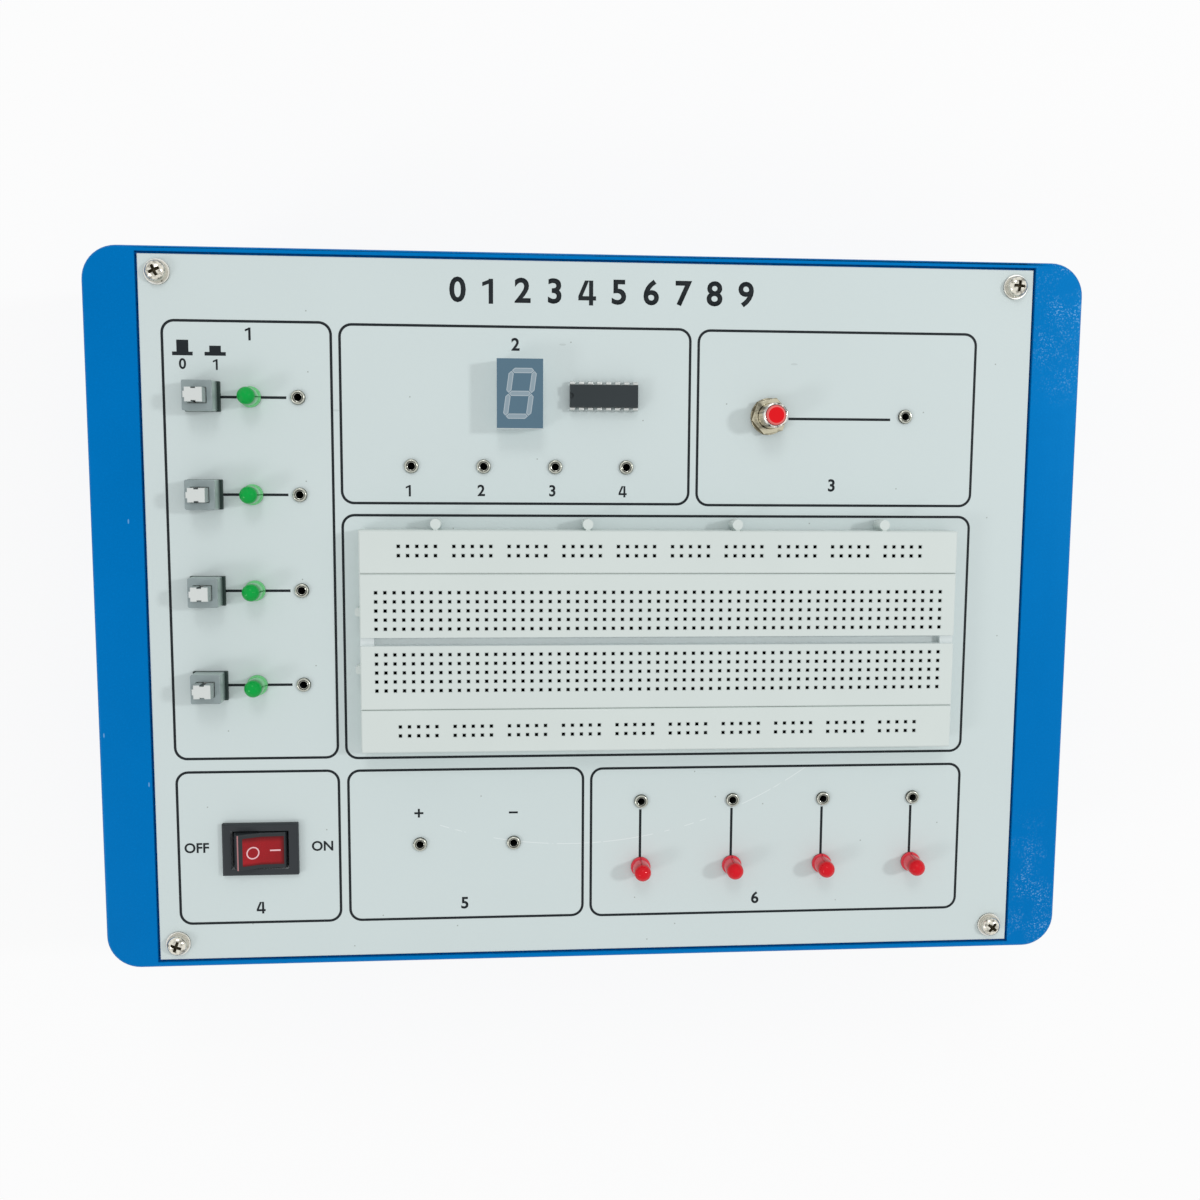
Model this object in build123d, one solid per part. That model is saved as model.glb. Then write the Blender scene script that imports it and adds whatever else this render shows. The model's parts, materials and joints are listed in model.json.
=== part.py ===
from build123d import *
import os
from math import cos, pi, radians, sin

# Digital logic trainer: a moulded case with one printed circuit panel set into its top.
# Millimetres. X runs to the right along the panel, Y up the panel, Z out of it.
# The origin is on the bench, under the middle of the panel.

# Case: a tub that the panel closes, with a hollow cheek at each end
CASE_LENGTH = 280.6
CASE_WIDTH = 203.4
CASE_BOTTOM = 4.0
CASE_TOP = 72.0
FLOOR_THICKNESS = 2.5
FLOOR = CASE_BOTTOM + FLOOR_THICKNESS
CORNER_RADIUS = 9.4
TOP_EDGE_RADIUS = 0.9
CHEEK_WALL = 2.5
CHEEK_ROOF = 3.0
PARTITION = 2.8
END_WALL = 2.6
RIM_LEDGE = 1.3
VENT_LENGTH = 30.0
VENT_WIDTH = 3.0
VENT_PITCH = 7.0
VENTS_PER_BANK = 6
FOOT_SIDE = 15.0
FOOT_SPREAD_X = 112.0
FOOT_SPREAD_Y = 78.0
FOOT_TAPER = 10

# Panel: a circuit board 0.3 mm below the rim
PANEL_LENGTH = 250.9
PANEL_WIDTH = 199.1
BOARD_THICKNESS = 1.6
PANEL_GAP = 0.6
FACE = CASE_TOP - 0.3
SEAT = FACE - BOARD_THICKNESS
PANEL_SCREW_X = 120.2
PANEL_SCREW_Y = 94.7
PANEL_BOSS_RADIUS = 4.6
PANEL_PILOT_DEPTH = 16.0

# Metric three screws
PILOT_RADIUS = 1.3
CLEARANCE_RADIUS = 1.7
HEAD_RADIUS = 2.9
HEAD_HEIGHT = 2.1
SCREW_LENGTH = 13.0
CROSS_SPAN = 3.6
CROSS_WIDTH = 0.8
CROSS_DEPTH = 1.1
WASHER_RADIUS = 3.5
WASHER_HEIGHT = 1.2

# Breadboard
HOLE_PITCH = 2.54
BREADBOARD_LENGTH = 169.0
BREADBOARD_X = 18.27
BREADBOARD_TOP = 8.5
BACKING = 0.8
UPPER_EDGE_Y = 25.06
UPPER_JOINT_Y = 12.95
LOWER_JOINT_Y = -25.30
LOWER_EDGE_Y = -37.60
CHANNEL_Y = -6.06
CHANNEL_WIDTH = 2.3
CHANNEL_DEPTH = 3.2
CHANNEL_END_LENGTH = 3.8
CHANNEL_END_DEPTH = 1.2
LUG_ROWS = (2.1, -14.1)
PEG_RADIUS = 1.45
PEG_SPACING = 42.33
PEG_REACH = 1.7
JOINT_GAP = 0.12

# Logic inputs: one row is a switch, a lamp and a socket
INPUT_ROWS = [61.3 - 26.87 * row for row in range(4)]
SWITCH_X = -108.85
GREEN_LAMP_X = -96.0
INPUT_SOCKET_X = -83.1

# Push switches that stand on the panel
BASE_LENGTH = 9.6
BASE_WIDTH = 8.3
SWITCH_BASE = 1.2
SHELL_SIDE = 8.2
SHELL_ROOF = 0.9
SWITCH_TOP = 7.0
SHELL_WALL = 0.9
PLUNGER_LENGTH = 4.7
PLUNGER_WIDTH = 3.9
PLUNGER_TOP = 11.1
PLUNGER_FIT = 0.2
KEY_WIDTH = 1.7
KEY_REACH = 0.4
COLLAR_SIDE = 5.6
COLLAR_THICKNESS = 1.2

# Lamps
LAMP_RADIUS = 2.5
LAMP_HEIGHT = 8.6
LAMP_FLANGE_RADIUS = 2.9
LAMP_FLANGE_HEIGHT = 1.0

# Jack sockets
SOCKET_RIM_RADIUS = 2.0
SOCKET_RIM_HEIGHT = 0.9
SOCKET_BARREL_RADIUS = 1.6
SOCKET_BORE_RADIUS = 1.05
SOCKET_DEPTH = 9.0

# Decoder section
DECODER_SOCKETS_X = [-52.2 + 20.2 * step for step in range(4)]
DECODER_SOCKETS_Y = 42.6
DISPLAY_X = -21.85
DISPLAY_Y = 62.6
DISPLAY_WIDTH = 12.8
DISPLAY_HEIGHT = 19.0
DISPLAY_DEPTH = 8.0
DISPLAY_PIN_ROWS = 15.24
FRONT_SHEET = 0.3
DIGIT_WIDTH = 7.7
DIGIT_HEIGHT = 13.8
SEGMENT_WIDTH = 1.4
SEGMENT_SLANT = 8.0
CHIP_X = 1.75
CHIP_Y = 62.4
CHIP_LENGTH = 19.3
CHIP_WIDTH = 6.4
CHIP_STANDOFF = 0.5
CHIP_THICKNESS = 3.3
CHIP_ROW_SPACING = 7.62
CHIP_DRAFT = 7

# Clock section
CLOCK_X = 49.1
CLOCK_Y = 57.3
CLOCK_SOCKET = (89.0, 57.6)
BUSHING_RADIUS = 3.5
BUSHING_HEIGHT = 9.9
NUT_ACROSS_FLATS = 9.5
NUT_THICKNESS = 2.0
NUT_TURN = 12.0
CLOCK_WASHER = 0.6
CAP_RADIUS = 2.75
CAP_TOP = 10.6
COLLAR_REACH = 7.0
CLOCK_BODY_SIDE = 9.4
CLOCK_CAVITY = 7.8
CLOCK_BODY_TOP = -2.6
CLOCK_BODY_LOW = -15.6

# Power section
POWER_X = -96.1
POWER_Y = -66.85
BEZEL_LENGTH = 21.4
BEZEL_WIDTH = 15.2
BEZEL_HEIGHT = 2.0
HOUSING_LENGTH = 19.0
HOUSING_WIDTH = 12.9
HOUSING_DEPTH = 13.0
WELL_LENGTH = 16.2
WELL_WIDTH = 11.1
ROCKER_WIDTH = 10.4
ROCKER_TIP_X = 6.6
ROCKER_TIP_Z = 3.6
ROCKER_VALLEY_Z = 2.5
ROCKER_TILT = 12.0
WINDOW_LENGTH = 11.4
WINDOW_WIDTH = 8.2
WINDOW_SHIFT = 0.5
PIVOT_Z = 0.0
TRUNNION_RADIUS = 1.2

# Supply and output sections
SUPPLY_SOCKETS = [(-50.8, -66.5), (-23.7, -66.5)]
OUTPUT_X = [13.6 + 27.13 * step for step in range(4)]
OUTPUT_SOCKETS_Y = -54.7
RED_LAMPS_Y = -74.4

# Inside the case
CORD_X = -70.0
CORD_Z = 24.0
CORD_HOLE_RADIUS = 5.1
CORD_RADIUS = 3.25
GLAND_RADIUS = 7.6
SUPPLY_X = -20.0
SUPPLY_Y = 25.0
SUPPLY_LENGTH = 130.0
SUPPLY_WIDTH = 70.0
POST_HEIGHT = 8.0
SUPPLY_TOP = FLOOR + POST_HEIGHT + BOARD_THICKNESS
CLIP_SPREAD_Y = 25.0
CLIP_FIT = 0.15
TRANSFORMER_X = -38.0
TRANSFORMER_Y = 4.0
LEG = 7.0
CORE_WIDTH = 6 * LEG
CORE_HEIGHT = 5 * LEG
CORE_STACK = 16.0

BOTTOM = (Align.CENTER, Align.CENTER, Align.MIN)
SOCKETS = (
    [(INPUT_SOCKET_X, y) for y in INPUT_ROWS]
    + [(x, DECODER_SOCKETS_Y) for x in DECODER_SOCKETS_X]
    + [CLOCK_SOCKET]
    + SUPPLY_SOCKETS
    + [(x, OUTPUT_SOCKETS_Y) for x in OUTPUT_X]
)
CORNERS = [(-1, -1), (-1, 1), (1, -1), (1, 1)]
PANEL_SCREWS = [(side * PANEL_SCREW_X, end * PANEL_SCREW_Y) for side, end in CORNERS]
FEET = [(side * FOOT_SPREAD_X, end * FOOT_SPREAD_Y) for side, end in CORNERS]


def column(radius, low, high, x=0.0, y=0.0):
    """Upright cylinder between two heights."""
    return Pos(x, y, low) * Cylinder(radius, high - low, align=BOTTOM)


def block(length, width, low, high, x=0.0, y=0.0):
    """Upright box between two heights."""
    return Pos(x, y, low) * Box(length, width, high - low, align=BOTTOM)


def slab(outline, low, high, x=0.0, y=0.0):
    """A flat outline raised between two heights."""
    return Pos(x, y, low) * extrude(outline, high - low, dir=(0, 0, 1))


def group(shapes):
    """Separate solids kept together in one node."""
    solids = [solid for shape in shapes for solid in shape.solids()]
    return Compound(children=solids)


def chamfer_top(shape, size):
    return chamfer(shape.faces().sort_by(Axis.Z)[-1].edges(), size)


# Case ------------------------------------------------------------------------------

def case_outline(inset):
    """The outer plan of the case, moved inwards."""
    return RectangleRounded(
        CASE_LENGTH - 2 * inset, CASE_WIDTH - 2 * inset, CORNER_RADIUS - inset
    )


def cheek_pockets(bay_length):
    """Hollows of the two cheeks, open below."""
    hollow = slab(case_outline(CHEEK_WALL), CASE_BOTTOM, CASE_TOP - CHEEK_ROOF)
    return hollow - block(bay_length + 2 * PARTITION, CASE_WIDTH, CASE_BOTTOM, CASE_TOP)


def vents():
    """Two banks of cooling slots through the floor."""
    slots = []
    for bank_x in (SUPPLY_X - 40, SUPPLY_X + 40):
        for slot in range(VENTS_PER_BANK):
            x = bank_x + (slot - (VENTS_PER_BANK - 1) / 2) * VENT_PITCH
            slots.append(block(VENT_WIDTH, VENT_LENGTH, CASE_BOTTOM, FLOOR, x, SUPPLY_Y - 65))
    return slots


def board_clip():
    """Post under a board's end edge, with a sprung hook that reaches over it."""
    hold = POST_HEIGHT + BOARD_THICKNESS + CLIP_FIT
    outline = [
        (-5, 0), (2.2, 0), (2.2, hold + 0.5), (0.9, hold + 2.4), (-0.9, hold + 0.6), (-0.9, hold),
        (CLIP_FIT, hold), (CLIP_FIT, POST_HEIGHT), (-5, POST_HEIGHT),
    ]
    return extrude(Plane.XZ * make_face(Polyline(*outline, close=True)), 3, both=True)


def board_clips():
    clip = board_clip()
    clips = []
    for end, turn in ((1, 0), (-1, 180)):
        for y in (SUPPLY_Y - CLIP_SPREAD_Y, SUPPLY_Y + CLIP_SPREAD_Y):
            x = SUPPLY_X + end * SUPPLY_LENGTH / 2
            clips.append(Pos(x, y, FLOOR) * Rot(0, 0, turn) * clip)
    return clips


def panel_bosses():
    """Corner columns from the floor to the panel, run into the walls on both sides."""
    return [column(PANEL_BOSS_RADIUS, FLOOR, SEAT, x, y) for x, y in PANEL_SCREWS]


def moulded_case():
    """Tub with floor, cheeks, rebate for the panel, bosses, board clips and openings."""
    body = slab(case_outline(0), CASE_BOTTOM, CASE_TOP)
    body = fillet(body.faces().sort_by(Axis.Z)[-1].edges(), TOP_EDGE_RADIUS)
    recess_length = PANEL_LENGTH + 2 * PANEL_GAP
    recess_width = PANEL_WIDTH + 2 * PANEL_GAP
    bay_length = recess_length - 4 * RIM_LEDGE
    bay_width = CASE_WIDTH - 2 * END_WALL
    body -= block(recess_length, recess_width, SEAT, CASE_TOP)
    body -= block(bay_length, bay_width, FLOOR, SEAT)
    body -= cheek_pockets(bay_length)
    for slot in vents():
        body -= slot
    for addition in panel_bosses() + board_clips():
        body += addition
    for x, y in PANEL_SCREWS:
        body -= column(PILOT_RADIUS, SEAT - PANEL_PILOT_DEPTH, SEAT, x, y)
    cord_hole = Rot(90, 0, 0) * Cylinder(CORD_HOLE_RADIUS, 4 * END_WALL)
    return body - Pos(CORD_X, CASE_WIDTH / 2, CORD_Z) * cord_hole


def rear_wall_zone():
    """Everything behind the bay, between the cheeks."""
    length = PANEL_LENGTH + 2 * PANEL_GAP - 4 * RIM_LEDGE
    return block(length, END_WALL, CASE_BOTTOM, CASE_TOP, y=(CASE_WIDTH - END_WALL) / 2)


def case_body():
    """The moulding without its rear wall."""
    return moulded_case() - rear_wall_zone()


def case_rear_wall():
    """The moulding's wall that the cord comes through."""
    return moulded_case() & rear_wall_zone()


def rubber_feet():
    """Tapered square pads stuck under the floor."""
    foot = extrude(Rectangle(FOOT_SIDE, FOOT_SIDE), -CASE_BOTTOM, taper=FOOT_TAPER)
    return group([Pos(x, y, CASE_BOTTOM) * foot for x, y in FEET])


# Panel -----------------------------------------------------------------------------

def panel_board():
    """The panel: clearance holes, keyed socket holes, bushing hole and rocker cut-out."""
    board = block(PANEL_LENGTH, PANEL_WIDTH, SEAT, FACE)
    for x, y in PANEL_SCREWS:
        board -= column(CLEARANCE_RADIUS, SEAT, FACE, x, y)
    for x, y in SOCKETS:
        board -= slab(RegularPolygon(SOCKET_BARREL_RADIUS + 0.02, 6), SEAT, FACE, x, y)
    board -= column(BUSHING_RADIUS + 0.1, SEAT, FACE, CLOCK_X, CLOCK_Y)
    board -= block(HOUSING_LENGTH + 0.3, HOUSING_WIDTH + 0.3, SEAT, FACE, POWER_X, POWER_Y)
    return board


def panel_screws():
    """Pan heads with a cross, each with its captive washers, over plain shanks."""
    head_top = WASHER_HEIGHT + HEAD_HEIGHT
    screw = column(WASHER_RADIUS, 0, WASHER_HEIGHT) + column(HEAD_RADIUS, WASHER_HEIGHT, head_top)
    screw -= block(CROSS_SPAN, CROSS_WIDTH, head_top - CROSS_DEPTH, head_top)
    screw -= block(CROSS_WIDTH, CROSS_SPAN, head_top - CROSS_DEPTH, head_top)
    screw += column(PILOT_RADIUS - 0.05, -SCREW_LENGTH, 0)
    return group([Pos(x, y, FACE) * screw for x, y in PANEL_SCREWS])


# Breadboard ------------------------------------------------------------------------

def strip(low_y, high_y):
    """One moulded strip of the breadboard with softened top edges."""
    width = high_y - low_y - JOINT_GAP
    middle = (high_y + low_y) / 2
    low, high = FACE + BACKING, FACE + BREADBOARD_TOP
    return chamfer_top(block(BREADBOARD_LENGTH, width, low, high, BREADBOARD_X, middle), 0.35)


def keyhole(radius, neck, low, high, x, y):
    """A round key and the neck that ties it to the strip's edge at y."""
    neck_middle = y + PEG_REACH / 2 - 0.2
    return column(radius, low, high, x, y + PEG_REACH) + block(
        neck, PEG_REACH + 0.4, low, high, x, neck_middle
    )


def joining_peg(x, y):
    """Key that stands off the rear edge of a strip."""
    return keyhole(PEG_RADIUS, 1.2, FACE + BACKING + 0.4, FACE + BREADBOARD_TOP - 1.0, x, y)


def joining_slot(x, y):
    """Hollow that would take the key of a further board."""
    return keyhole(PEG_RADIUS + 0.1, 1.5, FACE + BACKING, FACE + BREADBOARD_TOP - 0.8, x, y)


def peg_places():
    return [BREADBOARD_X + (place - 1.5) * PEG_SPACING for place in range(4)]


def upper_bus_strip():
    body = strip(UPPER_JOINT_Y, UPPER_EDGE_Y)
    for x in peg_places():
        body += joining_peg(x, UPPER_EDGE_Y - JOINT_GAP / 2)
    return body


def terminal_strip():
    """Middle strip with its channel, shallower at both ends, and the two end lugs."""
    body = strip(LOWER_JOINT_Y, UPPER_JOINT_Y)
    top = FACE + BREADBOARD_TOP
    deep_length = BREADBOARD_LENGTH - 2 * CHANNEL_END_LENGTH
    for length, depth in ((BREADBOARD_LENGTH, CHANNEL_END_DEPTH), (deep_length, CHANNEL_DEPTH)):
        body -= block(length, CHANNEL_WIDTH, top - depth, top, BREADBOARD_X, CHANNEL_Y)
    lug_x = BREADBOARD_X - BREADBOARD_LENGTH / 2 - 0.7
    for y in LUG_ROWS:
        lug = block(1.6, 2.4, FACE + BACKING + 0.4, top - 2.0, lug_x, y)
        body += chamfer(lug.faces().sort_by(Axis.X)[0].edges().filter_by(Axis.Z), 0.5)
    return body


def lower_bus_strip():
    body = strip(LOWER_EDGE_Y, LOWER_JOINT_Y)
    for x in peg_places():
        body -= joining_slot(x, LOWER_EDGE_Y + JOINT_GAP / 2)
    return body


def breadboard_backing():
    """Foam sheet that sticks the three strips to the panel."""
    middle = (UPPER_EDGE_Y + LOWER_EDGE_Y) / 2
    width = UPPER_EDGE_Y - LOWER_EDGE_Y - 1.2
    return block(BREADBOARD_LENGTH - 1.2, width, FACE, FACE + BACKING, BREADBOARD_X, middle)


# Push switches ---------------------------------------------------------------------

def switch_bases():
    base = block(BASE_LENGTH, BASE_WIDTH, 0, SWITCH_BASE)
    return group([Pos(SWITCH_X, y, FACE) * base for y in INPUT_ROWS])


def plunger_section(fit):
    """Plan of the plunger with its key on the left side, grown by the fit."""
    section = Rectangle(PLUNGER_LENGTH + 2 * fit, PLUNGER_WIDTH + 2 * fit)
    key_length = PLUNGER_LENGTH / 2 + KEY_REACH + fit
    return section + Pos(-key_length / 2, 0) * Rectangle(key_length, KEY_WIDTH + 2 * fit)


def switch_shells():
    """Translucent covers with softened edges and the plunger's keyed window."""
    shell = block(SHELL_SIDE, SHELL_SIDE, SWITCH_BASE, SWITCH_TOP)
    shell = chamfer(shell.edges().filter_by(Axis.Z), 0.3)
    shell = chamfer_top(shell, 0.2)
    inner = SHELL_SIDE - 2 * SHELL_WALL
    shell -= block(inner, inner, SWITCH_BASE, SWITCH_TOP - SHELL_ROOF)
    shell -= slab(plunger_section(PLUNGER_FIT), SWITCH_TOP - SHELL_ROOF, SWITCH_TOP)
    return group([Pos(SWITCH_X, y, FACE) * shell for y in INPUT_ROWS])


def collar_top():
    return SWITCH_TOP - SHELL_ROOF - 0.05


def switch_plunger(y):
    """Keyed stem with two cap grooves, a collar under the window and a spring pin."""
    stem = plunger_section(0)
    for end in (-1, 1):
        stem -= Pos(0, end * PLUNGER_WIDTH / 2) * Rectangle(1.2, 0.7)
    collar_low = collar_top() - COLLAR_THICKNESS
    plunger = chamfer_top(slab(stem, collar_top(), PLUNGER_TOP), 0.15)
    plunger += block(COLLAR_SIDE, COLLAR_SIDE, collar_low, collar_top())
    plunger += block(1.4, 1.4, collar_low - 0.8, collar_low)
    return Pos(SWITCH_X, y, FACE) * plunger


def coil_spring(radius, wire, low, high, turns):
    """Open coil of square wire between two heights, eight straight lengths to a turn."""
    steps = 8 * turns
    end = 0.55 * wire
    rise = (high - low - 2 * end) / steps
    points = [
        (radius * cos(step * pi / 4), radius * sin(step * pi / 4), low + end + rise * step)
        for step in range(steps + 1)
    ]
    path = Polyline(*points)
    section = Plane(path @ 0, z_dir=path % 0) * Rectangle(wire, wire)
    return sweep(section, path=path, transition=Transition.RIGHT)


def switch_spring(y):
    high = collar_top() - COLLAR_THICKNESS - 0.05
    return Pos(SWITCH_X, y, FACE) * coil_spring(1.6, 0.35, SWITCH_BASE + 0.05, high, 3)


# Lamps and sockets -----------------------------------------------------------------

def lamp():
    """Five millimetre diode: flange, straight body and round dome."""
    straight = LAMP_HEIGHT - LAMP_RADIUS
    middle = (LAMP_RADIUS * cos(pi / 4), straight + LAMP_RADIUS * sin(pi / 4))
    section = Curve() + [
        Polyline(
            (0, LAMP_HEIGHT), (0, 0), (LAMP_FLANGE_RADIUS, 0), (LAMP_FLANGE_RADIUS, LAMP_FLANGE_HEIGHT),
            (LAMP_RADIUS, LAMP_FLANGE_HEIGHT), (LAMP_RADIUS, straight),
        ),
        ThreePointArc((LAMP_RADIUS, straight), middle, (0, LAMP_HEIGHT)),
    ]
    return revolve(Plane.XZ * make_face(section), Axis.Z)


def green_lamps():
    return group([Pos(GREEN_LAMP_X, y, FACE) * lamp() for y in INPUT_ROWS])


def red_lamps():
    return group([Pos(x, RED_LAMPS_Y, FACE) * lamp() for x in OUTPUT_X])


def jack_sockets():
    """Round rims with a lead-in, over barrels whose six flats key them in the panel."""
    socket = column(SOCKET_RIM_RADIUS, 0, SOCKET_RIM_HEIGHT)
    socket += slab(RegularPolygon(SOCKET_BARREL_RADIUS, 6), -SOCKET_DEPTH, 0)
    socket -= column(SOCKET_BORE_RADIUS, -SOCKET_DEPTH, SOCKET_RIM_HEIGHT)
    return group([Pos(x, y, FACE) * socket for x, y in SOCKETS])


# Display and decoder chip ----------------------------------------------------------

def display_body():
    body = block(DISPLAY_WIDTH, DISPLAY_HEIGHT, 0, DISPLAY_DEPTH - FRONT_SHEET)
    body = chamfer(body.edges().filter_by(Axis.Z), 0.2)
    return Pos(DISPLAY_X, DISPLAY_Y, FACE) * body


def display_outlines():
    """The seven segments and the point, as flat outlines."""
    return digit_bars() + [Pos(4.9, -DIGIT_HEIGHT / 2 + 0.6) * Rectangle(1.5, 1.1)]


def digit_bars():
    """Segments leaned over by the slant, corner by corner."""
    reach_x = (DIGIT_WIDTH - SEGMENT_WIDTH) / 2
    reach_y = (DIGIT_HEIGHT - SEGMENT_WIDTH) / 2
    lean = sin(radians(SEGMENT_SLANT))
    gap = 0.25
    places = [(2 * reach_x - gap, 0, y, False) for y in (-reach_y, 0, reach_y)]
    for side, end in CORNERS:
        places.append((reach_y - gap, side * reach_x, end * reach_y / 2, True))
    outlines = []
    for length, x, y, upright in places:
        half, wide = length / 2, SEGMENT_WIDTH / 2
        corners = [
            (-half, 0), (-half + wide, wide), (half - wide, wide),
            (half, 0), (half - wide, -wide), (-half + wide, -wide),
        ]
        if upright:
            corners = [(-v, u) for u, v in corners]
        leaned = [(x + u + lean * (y + v), y + v) for u, v in corners]
        outlines.append(Polygon(*leaned, align=None))
    return outlines


def display_face():
    """Tinted front sheet with a window for each segment."""
    low, high = DISPLAY_DEPTH - FRONT_SHEET, DISPLAY_DEPTH
    face = block(DISPLAY_WIDTH - 0.1, DISPLAY_HEIGHT - 0.1, low, high)
    for outline in display_outlines():
        face -= slab(outline, low, high)
    return Pos(DISPLAY_X, DISPLAY_Y, FACE) * face


def display_segments():
    low, high = DISPLAY_DEPTH - FRONT_SHEET, DISPLAY_DEPTH + 0.02
    segments = [slab(outline, low, high) for outline in display_outlines()]
    return group([Pos(DISPLAY_X, DISPLAY_Y, FACE) * segment for segment in segments])


def component_leads():
    """Pin ends of the switches, lamps, display and decoder chip, soldered under the panel."""
    leads = []
    for y in INPUT_ROWS:
        for column_x in (-2.5, 0, 2.5):
            for row_y in (-2.5, 2.5):
                leads.append(block(0.7, 0.4, SEAT - 2.2, SEAT, SWITCH_X + column_x, y + row_y))
    lamps = [(GREEN_LAMP_X, y) for y in INPUT_ROWS] + [(x, RED_LAMPS_Y) for x in OUTPUT_X]
    for x, y in lamps:
        for side in (-1, 1):
            leads.append(block(0.5, 0.5, SEAT - 3, SEAT, x + side * HOLE_PITCH / 2, y))
    for step in range(5):
        for end in (-1, 1):
            x, y = DISPLAY_X + (step - 2) * HOLE_PITCH, DISPLAY_Y + end * DISPLAY_PIN_ROWS / 2
            leads.append(block(0.5, 0.5, SEAT - 2.4, SEAT, x, y))
    for step in range(8):
        for end in (-1, 1):
            x, y = CHIP_X + (step - 3.5) * HOLE_PITCH, CHIP_Y + end * CHIP_ROW_SPACING / 2
            leads.append(block(0.5, 0.3, SEAT - 1.6, SEAT, x, y))
    return group(leads)


def drafted_chip(length):
    """Moulded package: sides lean in above and below the mould line, notch at one end."""
    plan = Rectangle(length, CHIP_WIDTH)
    top = CHIP_STANDOFF + CHIP_THICKNESS
    middle = Pos(0, 0, CHIP_STANDOFF + CHIP_THICKNESS / 2)
    body = middle * extrude(plan, CHIP_THICKNESS / 2, taper=CHIP_DRAFT)
    body += middle * extrude(plan, -CHIP_THICKNESS / 2, taper=CHIP_DRAFT)
    return body - column(0.8, top - 0.6, top + 1, -length / 2 + 0.3)


def chip_pin():
    """Bent pin: out of the mould line, down its wide shoulder, thin end into the board."""
    shoulder = CHIP_STANDOFF + CHIP_THICKNESS / 2
    root, reach, gauge = CHIP_WIDTH / 2, CHIP_ROW_SPACING / 2, 0.26
    outline = [
        (root, shoulder + gauge / 2), (reach, shoulder + gauge / 2), (reach + gauge, shoulder - gauge / 2),
        (reach + gauge, 0.7), (reach, 0.7), (reach, shoulder - gauge / 2), (root, shoulder - gauge / 2),
    ]
    side_view = make_face(Polyline(*outline, close=True))
    pin = extrude(Plane.YZ * side_view, 0.7, both=True)
    return pin + block(0.5, gauge, 0, 0.7, 0, reach + gauge / 2)


def decoder_chip():
    return Pos(CHIP_X, CHIP_Y, FACE) * drafted_chip(CHIP_LENGTH)


def decoder_pins():
    pin = chip_pin()
    pins = []
    for step in range(8):
        x = CHIP_X + (step - 3.5) * HOLE_PITCH
        pins.append(Pos(x, CHIP_Y, FACE) * pin)
        pins.append(Pos(x, CHIP_Y, FACE) * Rot(0, 0, 180) * pin)
    return group(pins)


# Clock button ----------------------------------------------------------------------

def clock_bushing():
    """Plated sleeve through the panel on a square foot under it, hollow for the button."""
    sleeve = chamfer_top(column(BUSHING_RADIUS, -BOARD_THICKNESS, BUSHING_HEIGHT), 0.25)
    sleeve += block(CLOCK_BODY_SIDE, CLOCK_BODY_SIDE, CLOCK_BODY_TOP, -BOARD_THICKNESS)
    sleeve -= column(CAP_RADIUS + 0.1, CLOCK_BODY_TOP, BUSHING_HEIGHT)
    return Pos(CLOCK_X, CLOCK_Y, FACE) * sleeve


def clock_nut():
    across_corners = NUT_ACROSS_FLATS / cos(radians(30))
    nut = slab(RegularPolygon(across_corners / 2, 6), CLOCK_WASHER, CLOCK_WASHER + NUT_THICKNESS)
    nut -= column(BUSHING_RADIUS + 0.02, 0, 3)
    return Pos(CLOCK_X, CLOCK_Y, FACE) * Rot(0, 0, NUT_TURN) * nut


def clock_washer():
    ring = column(5.2, 0, CLOCK_WASHER) - column(BUSHING_RADIUS + 0.15, 0, CLOCK_WASHER)
    return Pos(CLOCK_X, CLOCK_Y, FACE) * ring


def clock_button():
    """Straight cap that fills the sleeve, held in by a square collar under it."""
    cap = chamfer_top(column(CAP_RADIUS, CLOCK_BODY_TOP - 0.6, CAP_TOP), 0.5)
    collar = block(COLLAR_REACH, COLLAR_REACH, CLOCK_BODY_TOP - 2.0, CLOCK_BODY_TOP - 0.6)
    return Pos(CLOCK_X, CLOCK_Y, FACE) * (cap + collar)


def clock_switch_housing():
    """Moulded box under the panel, hollow round the collar and spring."""
    body = block(CLOCK_BODY_SIDE, CLOCK_BODY_SIDE, CLOCK_BODY_LOW, CLOCK_BODY_TOP)
    body -= block(CLOCK_CAVITY, CLOCK_CAVITY, CLOCK_BODY_LOW + 1.5, CLOCK_BODY_TOP)
    return Pos(CLOCK_X, CLOCK_Y, FACE) * body


def clock_spring():
    low, high = CLOCK_BODY_LOW + 1.55, CLOCK_BODY_TOP - 2.05
    return Pos(CLOCK_X, CLOCK_Y, FACE) * coil_spring(2.7, 0.5, low, high, 4)


def clock_terminals():
    low = FACE + CLOCK_BODY_LOW
    return group([block(1.8, 0.5, low - 5, low, CLOCK_X + side * 2.2, CLOCK_Y) for side in (-1, 1)])


# Power switch ----------------------------------------------------------------------

def at_power(shape):
    return Pos(POWER_X, POWER_Y, FACE) * shape


def power_bezel():
    """Bezel and box of the rocker switch in one moulding, with the rocker's well."""
    bezel = chamfer_top(block(BEZEL_LENGTH, BEZEL_WIDTH, 0, BEZEL_HEIGHT), 0.5)
    box = block(HOUSING_LENGTH, HOUSING_WIDTH, -HOUSING_DEPTH, 0)
    body = bezel + box
    body -= block(WELL_LENGTH, WELL_WIDTH, -6.5, BEZEL_HEIGHT)
    for side in (-1, 1):
        snap = block(2.0, 0.5, -4.5, -BOARD_THICKNESS - 0.1, side * 6, 0)
        body += Pos(0, HOUSING_WIDTH / 2 + 0.2, 0) * snap
        body += Pos(0, -HOUSING_WIDTH / 2 - 0.2, 0) * snap
    trunnion_hole = Rot(90, 0, 0) * Cylinder(TRUNNION_RADIUS + 0.05, WELL_WIDTH + 0.9)
    return at_power(body - Pos(0, 0, PIVOT_Z) * trunnion_hole)


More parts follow.
